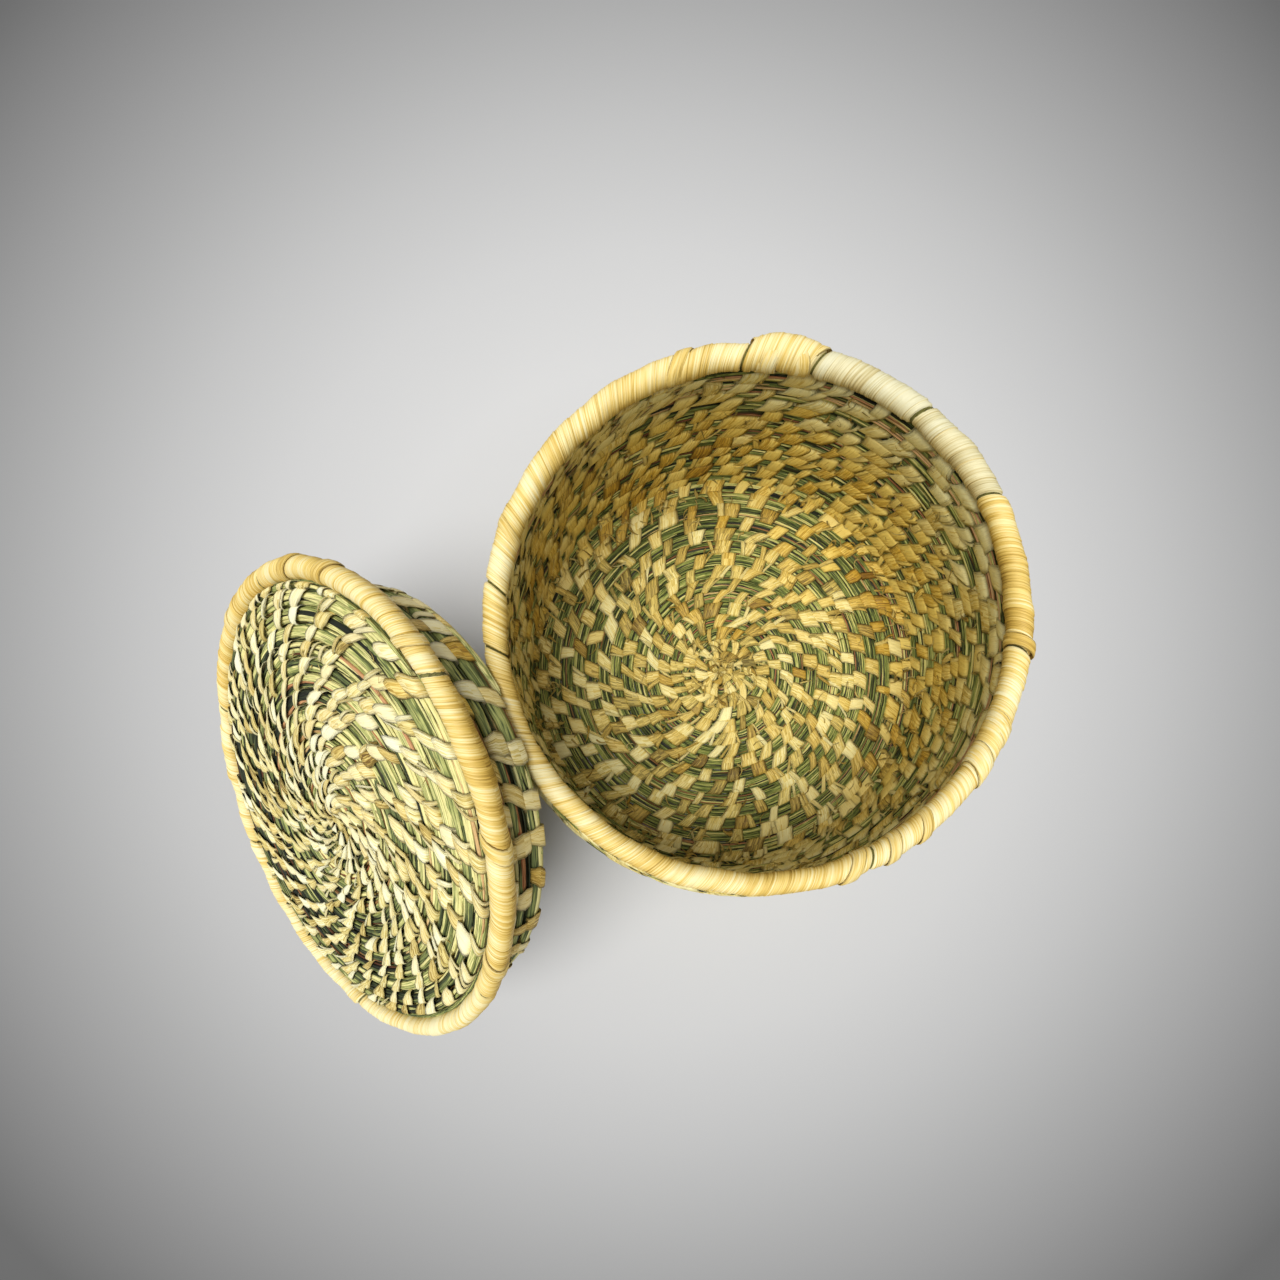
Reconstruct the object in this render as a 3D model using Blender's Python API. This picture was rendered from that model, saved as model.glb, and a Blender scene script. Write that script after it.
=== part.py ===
"""Coiled grass bread basket with its lid off and leaning on the rim.

Units are metres and +Z is up. The basket stands on z = 0 with its axis on the origin, and the
lid leans on the basket's rim from the -X side. Each stem bundle is wound as on the real
basket: from a start knot, clockwise as seen from above, every row a fixed gap from the last.
"""
import math

import bmesh
import bpy
import numpy as np
from mathutils import Matrix, Vector
from mathutils.bvhtree import BVHTree

# Outer sizes of the basket
RIM_DIAMETER = 0.250
BELLY_DIAMETER = 0.2760
BELLY_HEIGHT = 0.040
BASKET_HEIGHT = 0.1275
CORNER_RADIUS = 0.009
CORNER_STEPS = 9
WALL_STEPS = 40

# The lid's rim stands in a little from the basket's, and its collar drops inside the mouth
LID_RIM_INSET = 0.0006
COLLAR_CLEARANCE = 0.0009
COLLAR_TURNS = 4.0

# Stem bundles: half the row thickness, measured from row to row, the gap between rows, and how
# deep a bundle is for its thickness
FLOOR_ROW_HALF = 0.00385
WALL_ROW_HALF = 0.00435
LID_ROW_HALF = 0.00345
COLLAR_ROW_HALF = 0.00410
ROW_GAP = 0.00060
BUNDLE_DEPTH_RATIO = 0.95
ROW_TIP_FRACTION = 0.15
FLAT_CUT_FRACTION = 0.2
GROWTH_TURNS = 2.0
BUNDLE_SIDES = 6
ROW_POINTS = 16
INNER_ROW_POINTS = 8
INNER_TURNS = 2

# Start knots at the middle of the floor and of the lid
KNOT_RADIUS = 0.0035
KNOT_FOOT_FRACTION = 0.75
KNOT_TOP_FRACTION = 0.95
KNOT_SIDES = 12

# Wrapped rims: the stem ring, the raffia round it and the gaps where the ring shows
RIM_THICKNESS = 0.0107
RAFFIA_THICKNESS = 0.00067
WRAP_GAP = 0.00038
RIM_SIDES = 10
RIM_POINTS = 48
WRAP_SHOW_GAP = 0.0018
SPLICE_EXTRA = 0.0016
SPLICE_SHIFT = (0.5, 1.0)
BASKET_WRAP_ENDS_DEG = (69.2, 149.2, 162.8, 272.2, 330.2, 364.7, 388.2, 413.2)
LID_WRAP_ENDS_DEG = (12.0, 75.0, 128.0, 171.0, 236.0, 301.0, 372.0)

# Fits between pieces
SEAT_GAP = 0.0003
FACET_ALLOWANCE = 0.0003
COIL_SPLIT_GAP = 0.0003

# The lid's rest pose
LID_LEAN_DEG = 36.0
SEARCH_STEP = 0.001
SEARCH_HALVINGS = 12
SAMPLE_SPACING = 0.0015

# Sizes that follow from those above
WRAP_BORE_RADIUS = RIM_THICKNESS / 2.0 - RAFFIA_THICKNESS
RIM_BUNDLE_RADIUS = WRAP_BORE_RADIUS - WRAP_GAP
LID_DIAMETER = RIM_DIAMETER - 2.0 * LID_RIM_INSET
COLLAR_DIAMETER = RIM_DIAMETER - 2.0 * (RIM_THICKNESS + COLLAR_CLEARANCE)

# Colours as linear values
STEM_GREEN = (0.125, 0.160, 0.052)
STEM_LID_GREEN = (0.140, 0.185, 0.065)
STEM_BROWN = (0.190, 0.150, 0.060)
STRAW = (0.610, 0.430, 0.140)
RAFFIA = (0.780, 0.640, 0.300)
RAFFIA_GOLD = (0.700, 0.480, 0.150)
DRY_ROUGHNESS = 0.75
RAFFIA_ROUGHNESS = 0.55


def clear_scene():
    """Remove every object, so that the script can run in an open file."""
    for item in list(bpy.data.objects):
        bpy.data.objects.remove(item, do_unlink=True)


def dry_material(name, colour, roughness):
    """Make one piece's own material."""
    material = bpy.data.materials.new(name + "_material")
    material.use_nodes = True
    shader = material.node_tree.nodes["Principled BSDF"]
    shader.inputs["Base Color"].default_value = (*colour, 1.0)
    shader.inputs["Roughness"].default_value = roughness
    shader.inputs["Metallic"].default_value = 0.0
    return material


def finish_object(name, mesh_data, colour, roughness, smooth=True):
    """Turn a bmesh into a named object with outward normals and its own material."""
    bmesh.ops.recalc_face_normals(mesh_data, faces=mesh_data.faces)
    mesh = bpy.data.meshes.new(name)
    mesh_data.to_mesh(mesh)
    mesh_data.free()
    for polygon in mesh.polygons:
        polygon.use_smooth = smooth and len(polygon.vertices) == 4
    item = bpy.data.objects.new(name, mesh)
    bpy.context.collection.objects.link(item)
    item.data.materials.append(dry_material(name, colour, roughness))
    return item


def polar(radius, height, angle):
    """Turn a radius, a height and an angle about the axis into a point."""
    return Vector((radius * math.cos(angle), radius * math.sin(angle), height))


class Profile:
    """The line that a coil's rows follow, seen in a half plane through the axis."""

    def __init__(self, outline):
        """Measure the outline's length at each of its points."""
        self.outline = np.array(outline)
        steps = np.linalg.norm(np.diff(self.outline, axis=0), axis=1)
        self.lengths = np.concatenate([[0.0], np.cumsum(steps)])

    def point(self, length):
        """Return the radius and the height at a length along the line."""
        radius = np.interp(length, self.lengths, self.outline[:, 0])
        height = np.interp(length, self.lengths, self.outline[:, 1])
        return np.array([radius, height])

    def along(self, length):
        """Return the unit direction of the line at a length along it."""
        low = max(length - FLOOR_ROW_HALF, 0.0)
        high = min(length + FLOOR_ROW_HALF, self.lengths[-1])
        direction = self.point(high) - self.point(low)
        return direction / np.linalg.norm(direction)


class Coil:
    """One stem bundle, wound in rows that keep a fixed gap and thin out at their ends."""

    def __init__(self, profile, start, row_halves, turns, end_angle):
        """Keep the sizes; the bundle's tail ends at end_angle.

        row_halves is half the row thickness before and after the bundle grows, which it does
        over a few turns from growth_turn. The first inner_turns have fewer rings. Nothing
        reaches below the ground.
        """
        self.profile = profile
        self.start = start
        self.row_halves = row_halves
        self.turns = turns
        self.end_angle = end_angle
        self.growth_turn = 0.0
        self.inner_turns = 0
        self.ground = -math.inf

    def full_half(self, turn):
        """Return half the thickness of the bundle at this turn, its ends' taper left out."""
        grown = min(max((turn - self.growth_turn) / GROWTH_TURNS, 0.0), 1.0)
        return self.row_halves[0] + (self.row_halves[1] - self.row_halves[0]) * grown

    def half_thickness(self, turn):
        """Return half the row thickness, thin at the first and last turn's tips."""
        from_tip = max(min(turn, self.turns - turn, 1.0), 0.0)
        return self.full_half(turn) * (ROW_TIP_FRACTION + (1.0 - ROW_TIP_FRACTION) * from_tip)

    def place(self, turn):
        """Return the length along the profile of the bundle's middle at this turn."""
        length = self.start + self.half_thickness(turn)
        inner = turn - 1.0
        while inner > -1e-9:
            length += 2.0 * self.half_thickness(inner) + ROW_GAP
            inner -= 1.0
        return length

    def angle(self, turn):
        """Return the angle about the axis; the coil runs clockwise seen from above."""
        return self.end_angle + 2.0 * math.pi * (self.turns - turn)

    def turn_values(self, first, last):
        """List the turns at which the bundle has a ring, fewer on the small inner rows."""
        steps = round(last * ROW_POINTS)
        values = []
        for index in range(round(first * ROW_POINTS), steps + 1):
            turn = index / ROW_POINTS
            halved = turn < self.inner_turns and index % (ROW_POINTS // INNER_ROW_POINTS)
            if not halved or index == steps:
                values.append(turn)
        return values

    def outline(self, turn, section):
        """Return the section at this turn as radius and height pairs."""
        length = self.place(turn)
        middle = self.profile.point(length)
        along = self.profile.along(length)
        out = np.array([along[1], -along[0]])
        depth = self.full_half(turn) * BUNDLE_DEPTH_RATIO
        half = self.half_thickness(turn)
        corners = [middle + along * across * half + out * outward * depth for across, outward in section]
        return [np.array([radius, max(height, self.ground)]) for radius, height in corners]

    def ring(self, turn, section, drawn_back=0.0):
        """Return the section's points at this turn, drawn back along the bundle if need be."""
        angle = self.angle(turn) + drawn_back / self.profile.point(self.place(turn))[0]
        return [polar(spot[0], spot[1], angle) for spot in self.outline(turn, section)]


def bundle_section():
    """Give the bundle's six-sided section: across the row, and out from the rows.

    Its corners face the next rows and its flats face in and out.
    """
    flat = math.cos(math.pi / BUNDLE_SIDES)
    angles = [2.0 * math.pi * index / BUNDLE_SIDES for index in range(BUNDLE_SIDES)]
    return [(math.cos(angle), math.sin(angle) / flat) for angle in angles]


def tube_mesh(rings):
    """Join rings of points into one closed tube with capped ends."""
    mesh_data = bmesh.new()
    rows = [[mesh_data.verts.new(point) for point in ring] for ring in rings]
    for low, high in zip(rows, rows[1:]):
        count = len(low)
        for index in range(count):
            after = (index + 1) % count
            mesh_data.faces.new((low[index], low[after], high[after], high[index]))
    mesh_data.faces.new(list(reversed(rows[0])))
    mesh_data.faces.new(rows[-1])
    return mesh_data


def loop_mesh(rings):
    """Join rings of points into one closed ring-shaped tube."""
    mesh_data = bmesh.new()
    rows = [[mesh_data.verts.new(point) for point in ring] for ring in rings]
    for low, high in zip(rows, rows[1:] + rows[:1]):
        count = len(low)
        for index in range(count):
            after = (index + 1) % count
            mesh_data.faces.new((low[index], low[after], high[after], high[index]))
    return mesh_data


def sleeve_mesh(outer_rings, inner_rings):
    """Join outer and inner rings into one open-ended sleeve with a bore."""
    mesh_data = bmesh.new()
    outer = [[mesh_data.verts.new(point) for point in ring] for ring in outer_rings]
    inner = [[mesh_data.verts.new(point) for point in ring] for ring in inner_rings]
    count = len(outer[0])
    for index in range(count):
        after = (index + 1) % count
        for low, high in zip(outer, outer[1:]):
            mesh_data.faces.new((low[index], low[after], high[after], high[index]))
        for low, high in zip(inner, inner[1:]):
            mesh_data.faces.new((low[index], high[index], high[after], low[after]))
        for end in (0, -1):
            corners = (outer[end][index], outer[end][after], inner[end][after], inner[end][index])
            mesh_data.faces.new(corners)
    return mesh_data


def coil_object(name, coil, stretch, colour, drawn_back=(0.0, 0.0)):
    """Model one stretch of a coil as one unbroken tube, its two ends drawn back if need be."""
    section = bundle_section()
    turns = coil.turn_values(*stretch)
    rings = [coil.ring(turns[0], section, -drawn_back[0])]
    rings += [coil.ring(turn, section) for turn in turns[1:-1]]
    rings.append(coil.ring(turns[-1], section, drawn_back[1]))
    report_row_gap(name, coil, stretch, section)
    return finish_object(name, tube_mesh(rings), colour, DRY_ROUGHNESS)


def point_to_edge(point, start, end):
    """Return the distance from a point to a straight edge, in the profile's plane."""
    edge = end - start
    part = np.clip(np.dot(point - start, edge) / np.dot(edge, edge), 0.0, 1.0)
    return float(np.linalg.norm(point - start - edge * part))


def outline_gap(first, second):
    """Return the least distance between the corners of one outline and the other's edges."""
    least = math.inf
    for points, other in ((first, second), (second, first)):
        for start, end in zip(other, other[1:] + other[:1]):
            least = min(least, *(point_to_edge(point, start, end) for point in points))
    return least


def report_row_gap(name, coil, stretch, section):
    """Measure a coil's least gap to its own next row on its points, and print it."""
    gaps = []
    for turn in coil.turn_values(stretch[0], stretch[1] - 1.0):
        near = coil.outline(turn, section)
        far = coil.outline(turn + 1.0, section)
        gaps.append(outline_gap(near, far) * math.cos(math.pi / ROW_POINTS))
    turns = stretch[1] - stretch[0]
    print(f"{name}: {turns:.2f} turns, least gap between rows {min(gaps) * 1000:.2f} mm")


def knot_object(name, foot, height, colour):
    """Model a start knot as a small turned button with a flat foot and a domed top."""
    foot_radius = KNOT_RADIUS * KNOT_FOOT_FRACTION
    shoulder = height * KNOT_FOOT_FRACTION
    outline = [
        (0.0, 0.0),
        (foot_radius, 0.0),
        (KNOT_RADIUS, height - shoulder),
        (KNOT_RADIUS, shoulder),
        (foot_radius, height * KNOT_TOP_FRACTION),
        (0.0, height),
    ]
    mesh_data = bmesh.new()
    verts = [mesh_data.verts.new((radius, 0.0, foot + z)) for radius, z in outline]
    edges = [mesh_data.edges.new(pair) for pair in zip(verts, verts[1:])]
    bmesh.ops.spin(
        mesh_data,
        geom=verts + edges,
        cent=(0.0, 0.0, 0.0),
        axis=(0.0, 0.0, 1.0),
        angle=2.0 * math.pi,
        steps=KNOT_SIDES,
        use_merge=True,
    )
    bmesh.ops.remove_doubles(mesh_data, verts=mesh_data.verts, dist=1e-7)
    return finish_object(name, mesh_data, colour, DRY_ROUGHNESS)


class Rim:
    """A ring of stems with lengths of raffia wrapped round it."""

    def __init__(self, label, ring_radius, height):
        """Keep the ring's size and its height above the piece's own origin."""
        self.label = label
        self.ring_radius = ring_radius
        self.height = height

    def corner_ring(self, index, radius, shift=(0.0, 0.0)):
        """Return one section of the ring at one of its evenly spaced corners."""
        angle = 2.0 * math.pi * index / RIM_POINTS
        points = []
        for side in range(RIM_SIDES):
            turn = 2.0 * math.pi * side / RIM_SIDES
            out = self.ring_radius + shift[0] + radius * math.cos(turn)
            points.append(polar(out, self.height + shift[1] + radius * math.sin(turn), angle))
        return points

    def ring_at(self, place, radius, shift=(0.0, 0.0)):
        """Return a section anywhere on the ring, on its straight facets."""
        low = math.floor(place)
        part = place - low
        start = self.corner_ring(low, radius, shift)
        if part < 1e-9:
            return start
        end = self.corner_ring(low + 1, radius, shift)
        return [a.lerp(b, part) for a, b in zip(start, end)]

    def places(self, start_deg, end_deg):
        """List the places of a sleeve's sections, half a showing gap in from its ends."""
        inset = math.degrees(WRAP_SHOW_GAP / 2.0 / self.ring_radius)
        first = (start_deg + inset) * RIM_POINTS / 360.0
        last = (end_deg - inset) * RIM_POINTS / 360.0
        corners = range(math.ceil(first + 1e-6), math.floor(last - 1e-6) + 1)
        return [first, *corners, last]

    def bundle(self, colour):
        """Model the ring of stems inside the raffia."""
        rings = [self.corner_ring(index, RIM_BUNDLE_RADIUS) for index in range(RIM_POINTS)]
        name = self.label + "_rim_bundle"
        return finish_object(name, loop_mesh(rings), colour, DRY_ROUGHNESS)

    def wrap(self, number, start_deg, end_deg, colour):
        """Model one length of raffia as a sleeve round the stems."""
        places = self.places(start_deg, end_deg)
        outer = [self.ring_at(place, RIM_THICKNESS / 2.0) for place in places]
        inner = [self.ring_at(place, WRAP_BORE_RADIUS) for place in places]
        name = f"{self.label}_rim_wrap_{number}"
        return finish_object(name, sleeve_mesh(outer, inner), colour, RAFFIA_ROUGHNESS)

    def splice(self, start_deg, end_deg, colour):
        """Model the thick binding over the ring's joined ends, swelling up and outwards."""
        places = self.places(start_deg, end_deg)
        outer = []
        for place in places:
            part = (place - places[0]) / (places[-1] - places[0])
            extra = SPLICE_EXTRA * math.sin(math.pi * part) ** 0.5 if 0.0 < part < 1.0 else 0.0
            shift = (extra * SPLICE_SHIFT[0], extra * SPLICE_SHIFT[1])
            outer.append(self.ring_at(place, RIM_THICKNESS / 2.0 + extra, shift))
        inner = [self.ring_at(place, WRAP_BORE_RADIUS) for place in places]
        name = self.label + "_rim_splice"
        return finish_object(name, sleeve_mesh(outer, inner), colour, RAFFIA_ROUGHNESS)


def arc_points(centre, radius, start, end, count):
    """List the points of an arc in the radius and height plane."""
    angles = np.linspace(start, end, count)
    return [(centre[0] + radius * math.cos(a), centre[1] + radius * math.sin(a)) for a in angles]


def basket_profile():
    """Draw the line of the bundle's middle: floor, corner and bellied wall up to the rim."""
    floor_height = FLOOR_ROW_HALF * BUNDLE_DEPTH_RATIO * (1.0 - FLAT_CUT_FRACTION)
    belly = BELLY_DIAMETER / 2.0 - WALL_ROW_HALF * BUNDLE_DEPTH_RATIO
    rim_ring = (RIM_DIAMETER - RIM_THICKNESS) / 2.0
    rim_height = BASKET_HEIGHT - RIM_THICKNESS / 2.0
    inward = belly - rim_ring
    rise = rim_height - BELLY_HEIGHT
    wall_radius = (inward**2 + rise**2) / (2.0 * inward)
    wall_centre = (belly - wall_radius, BELLY_HEIGHT)
    corner_height = floor_height + CORNER_RADIUS
    low_angle = -math.asin((BELLY_HEIGHT - corner_height) / wall_radius)
    high_angle = math.asin(rise / wall_radius)
    corner_out = wall_centre[0] + wall_radius * math.cos(low_angle)
    corner_centre = (corner_out - CORNER_RADIUS, corner_height)
    outline = [(0.0, floor_height)]
    outline += arc_points(corner_centre, CORNER_RADIUS, -math.pi / 2.0, 0.0, CORNER_STEPS)
    outline += arc_points(wall_centre, wall_radius, low_angle, high_angle, WALL_STEPS)[1:]
    return Profile(outline), corner_centre[0]


def splice_reach(profile):
    """Return how far the splice swells towards the wall, beyond the plain rim."""
    towards_wall = -profile.along(profile.lengths[-1])
    return SPLICE_EXTRA * (1.0 + float(np.dot(SPLICE_SHIFT, towards_wall)))


def whole_steps(turns):
    """Round a number of turns down to a whole number of rings."""
    return math.floor(turns * ROW_POINTS) / ROW_POINTS


def fill_turns(coil, room):
    """Lengthen a coil to the most turns whose rows stay within a length of its profile."""
    while True:
        coil.turns += 1.0 / ROW_POINTS
        edges = []
        for index in range(ROW_POINTS + 1):
            turn = coil.turns - index / ROW_POINTS
            edges.append(coil.place(turn) + coil.half_thickness(turn))
        if max(edges) > room:
            coil.turns -= 1.0 / ROW_POINTS
            return


def build_basket():
    """Model the basket's pieces and return its rim's solids."""
    profile, flat_end = basket_profile()
    start = KNOT_RADIUS + SEAT_GAP + FACET_ALLOWANCE
    split = whole_steps((flat_end - start) / (2.0 * FLOOR_ROW_HALF + ROW_GAP))
    halves = (FLOOR_ROW_HALF, WALL_ROW_HALF)
    rim_reach = RIM_THICKNESS / 2.0 + max(splice_reach(profile), 0.0)
    room = profile.lengths[-1] - rim_reach - SEAT_GAP - FACET_ALLOWANCE
    splice_middle = math.radians((BASKET_WRAP_ENDS_DEG[-1] + BASKET_WRAP_ENDS_DEG[0] + 360) / 2)
    coil = Coil(profile, start, halves, split, splice_middle)
    coil.growth_turn = split + 1.0
    coil.inner_turns = INNER_TURNS
    coil.ground = 0.0
    fill_turns(coil, room)
    height = FLOOR_ROW_HALF * BUNDLE_DEPTH_RATIO * (2.0 - FLAT_CUT_FRACTION)
    knot_object("basket_start_knot", 0.0, height, STRAW)
    back = COIL_SPLIT_GAP / 2.0
    coil_object("basket_floor_coil", coil, (0.0, split), STEM_GREEN, (0.0, back))
    coil_object("basket_wall_coil", coil, (split, coil.turns), STEM_GREEN, (back, 0.0))
    rim = Rim("basket", (RIM_DIAMETER - RIM_THICKNESS) / 2.0, BASKET_HEIGHT - RIM_THICKNESS / 2.0)
    rim.bundle(STEM_BROWN)
    wraps = []
    ends = BASKET_WRAP_ENDS_DEG
    for number, (low, high) in enumerate(zip(ends, ends[1:]), start=1):
        wraps.append(rim.wrap(number, low, high, RAFFIA))
    wraps.append(rim.splice(ends[-1], ends[0] + 360.0, RAFFIA_GOLD))
    return wraps


def build_lid():
    """Model the lid's pieces about its own middle, its outer face up."""
    ring_radius = (LID_DIAMETER - RIM_THICKNESS) / 2.0
    disc_room = ring_radius - RIM_THICKNESS / 2.0 - SEAT_GAP - FACET_ALLOWANCE
    start = KNOT_RADIUS + SEAT_GAP + FACET_ALLOWANCE
    disc_line = Profile([(0.0, 0.0), (LID_DIAMETER / 2.0, 0.0)])
    disc_halves = (LID_ROW_HALF, LID_ROW_HALF)
    disc = Coil(disc_line, start, disc_halves, INNER_TURNS, math.radians(LID_WRAP_ENDS_DEG[0]))
    disc.inner_turns = INNER_TURNS
    fill_turns(disc, disc_room)
    disc_height = LID_ROW_HALF * BUNDLE_DEPTH_RATIO
    collar_radius = COLLAR_DIAMETER / 2.0 - COLLAR_ROW_HALF * BUNDLE_DEPTH_RATIO
    collar_top = -disc_height - SEAT_GAP
    collar_foot = collar_top - (COLLAR_TURNS + 1.0) * (2.0 * COLLAR_ROW_HALF + ROW_GAP)
    collar_line = Profile([(collar_radius, collar_top), (collar_radius, collar_foot)])
    collar = Coil(collar_line, 0.0, (COLLAR_ROW_HALF, COLLAR_ROW_HALF), COLLAR_TURNS, 0.0)
    rim = Rim("lid", ring_radius, 0.0)
    pieces = [
        knot_object("lid_start_knot", -disc_height, 2.0 * disc_height, STRAW),
        coil_object("lid_disc_coil", disc, (0.0, disc.turns), STEM_LID_GREEN),
        coil_object("lid_collar_coil", collar, (0.0, COLLAR_TURNS), STEM_LID_GREEN),
        rim.bundle(STEM_BROWN),
    ]
    ends = LID_WRAP_ENDS_DEG
    for number, (low, high) in enumerate(zip(ends, ends[1:]), start=1):
        pieces.append(rim.wrap(number, low, high, RAFFIA))
    return pieces


def edge_points(item):
    """List points along every edge of a piece, for measuring how near it comes."""
    points = []
    for edge in item.data.edges:
        start = item.data.vertices[edge.vertices[0]].co
        end = item.data.vertices[edge.vertices[1]].co
        count = math.ceil((end - start).length / SAMPLE_SPACING)
        for index in range(count):
            points.append(start.lerp(end, index / count))
    return points


def surface_tree(items):
    """Make one search tree for the pieces' surfaces."""
    corners = []
    faces = []
    for item in items:
        first = len(corners)
        corners += [vertex.co for vertex in item.data.vertices]
        faces += [[first + index for index in polygon.vertices] for polygon in item.data.polygons]
    return BVHTree.FromPolygons(corners, faces)


def least_distance(points, tree, pose):
    """Return the least distance from posed points to the surfaces, if it is under a step."""
    least = SEARCH_STEP
    for point in points:
        nearest = tree.find_nearest(pose @ point, least)
        if nearest[0] is not None:
            least = nearest[3]
    return least


def leaning_pose(distance, height):
    """Place the lid at a distance from the axis, its outer face up and away from the basket."""
    lean = Matrix.Rotation(-math.radians(LID_LEAN_DEG), 4, "Y")
    return Matrix.Translation((-distance, 0.0, height)) @ lean


def settle_lid(pieces, rim_solids):
    """Stand the lid on its lowest point and slide it in until it rests on the rim."""
    seat = bpy.data.objects.new("lid_seat", None)
    bpy.context.collection.objects.link(seat)
    tilt = leaning_pose(0.0, 0.0)
    lowest = min((tilt @ vertex.co).z for item in pieces for vertex in item.data.vertices)
    points = []
    for item in pieces[2:]:
        points += [p for p in edge_points(item) if p.x > LID_DIAMETER / 4.0]
    tree = surface_tree(rim_solids)
    far = max((tilt @ point).x for point in points) + RIM_DIAMETER / 2.0 + SEARCH_STEP
    near = far - SEARCH_STEP
    while least_distance(points, tree, leaning_pose(near, -lowest)) > SEAT_GAP:
        far = near
        near = far - SEARCH_STEP
    for _ in range(SEARCH_HALVINGS):
        middle = (far + near) / 2.0
        if least_distance(points, tree, leaning_pose(middle, -lowest)) > SEAT_GAP:
            far = middle
        else:
            near = middle
    seat.matrix_world = leaning_pose(far, -lowest)
    for item in pieces:
        item.parent = seat
    print(f"lid rests {far * 1000:.2f} mm from the axis and {-lowest * 1000:.2f} mm up")


def main():
    """Build the basket and its lid."""
    clear_scene()
    rim_solids = build_basket()
    lid_pieces = build_lid()
    settle_lid(lid_pieces, rim_solids)


main()
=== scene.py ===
"""Visual model of a coiled bread basket and its lid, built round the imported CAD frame.

Units are metres and +Z is up. The basket's axis is the Z axis, and the lid leans on its rim from the
-X side. Each bundle of stems follows the coil of its CAD node: wound from a start knot, clockwise as
seen from above. A strap is one flat stitch of straw round a bundle.
"""

import logging
import math
from bisect import bisect_left
from dataclasses import dataclass, field, replace
from enum import Enum
from typing import Callable

import bmesh
import bpy
import numpy as np
from mathutils import Matrix, Vector


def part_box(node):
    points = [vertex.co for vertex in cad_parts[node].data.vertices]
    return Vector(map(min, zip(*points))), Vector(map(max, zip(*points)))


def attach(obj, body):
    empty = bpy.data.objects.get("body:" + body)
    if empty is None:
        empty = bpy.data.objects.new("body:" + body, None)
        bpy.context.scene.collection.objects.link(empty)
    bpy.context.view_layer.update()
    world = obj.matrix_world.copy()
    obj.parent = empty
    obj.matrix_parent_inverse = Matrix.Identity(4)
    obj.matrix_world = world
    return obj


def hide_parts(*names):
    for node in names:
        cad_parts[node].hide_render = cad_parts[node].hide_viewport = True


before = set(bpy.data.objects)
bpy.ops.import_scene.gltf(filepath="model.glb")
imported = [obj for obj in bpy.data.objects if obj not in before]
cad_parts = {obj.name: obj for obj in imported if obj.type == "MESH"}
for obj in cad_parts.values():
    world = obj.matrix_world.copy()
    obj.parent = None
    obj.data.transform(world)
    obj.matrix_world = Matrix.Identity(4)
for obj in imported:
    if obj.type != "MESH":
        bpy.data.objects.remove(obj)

Array = np.ndarray
Traits = dict[str, Array]
Span = tuple[float, float]
Pairs = tuple[Span, ...]
# The stops of a colour ramp: place, red, green and blue.
Shades = tuple[tuple[float, float, float, float], ...]
# What a node's inputs get: a socket, a node that stands for its first output, or a value.
Feeds = dict[str | int, object]
# Gives a form's points from the part of the way along it and the angle round it.
Place = Callable[[Array, Array], Array]

log = logging.getLogger("basket")
FULL_TURN = 2.0 * math.pi
TABLE_TOP = 0.0001
TRAITS = ("tone", "accent", "seed")

# As in the frame: the gap between two rows, a bundle's depth against its row thickness, and how far
# the first row starts outside its knot.
ROW_GAP = 0.0006
DEPTH_RATIO = 0.95
KNOT_GAP = 0.0006
# Section angles that take in the whole bundle, in degrees, and how square its section is.
ALL_ROUND = (-90.0, 270.0)
BUNDLE_SQUARENESS = 0.8
# Which random numbers the stems beside a rim and the ribbons tied over it have.
BED_DRAWS = 55
TIE_DRAWS = 77
# In turns: where the stems and the straps of a coil begin beside its knot, and how far before its
# end they end.
STEM_START = 0.02
STRAP_START = 0.12
STEM_END = 0.01
STRAP_END = 0.05


class Slot(Enum):
    """The record's material slots."""

    STEM_GREEN = "stem_green"
    STEM_LID = "stem_lid_green"
    STEM_BROWN = "stem_brown"
    STRAW = "straw"
    RAFFIA = "raffia"
    RAFFIA_GOLD = "raffia_gold"


def smooth_step(low: float, high: float, value: Array) -> Array:
    """Rise smoothly from 0 at low to 1 at high."""
    part = np.clip((value - low) / (high - low), 0.0, 1.0)
    return part * part * (3.0 - 2.0 * part)


def signed_power(value: Array, power: float) -> Array:
    """Raise a value's size to a power and keep its sign."""
    return np.sign(value) * np.abs(value) ** power


def seated(seat: Matrix, radius: Array, height: Array, angle: Array) -> Array:
    """Turn radii, heights and angles about a piece's own axis into points of the frame.

    Args:
        seat: where the piece stands in the frame.
        radius: distance from the piece's axis.
        height: height along the piece's axis.
        angle: angle about the piece's axis.

    Returns:
        The points, their coordinates last.
    """
    turned = np.array(seat.to_3x3())
    local = np.stack([radius * np.cos(angle), radius * np.sin(angle), height + 0.0 * angle], axis=-1)
    spots = local @ turned.T + np.array(seat.translation)
    spots[..., 2] = np.maximum(spots[..., 2], TABLE_TOP)
    return spots


def shown(name: str, data: bpy.types.ID) -> bpy.types.Object:
    """Put a mesh, a light or a camera into the scene.

    Args:
        name: the object's name.
        data: what the object shows.

    Returns:
        The object, at the origin.
    """
    item = bpy.data.objects.new(name, data)
    bpy.context.scene.collection.objects.link(item)
    return item


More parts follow.
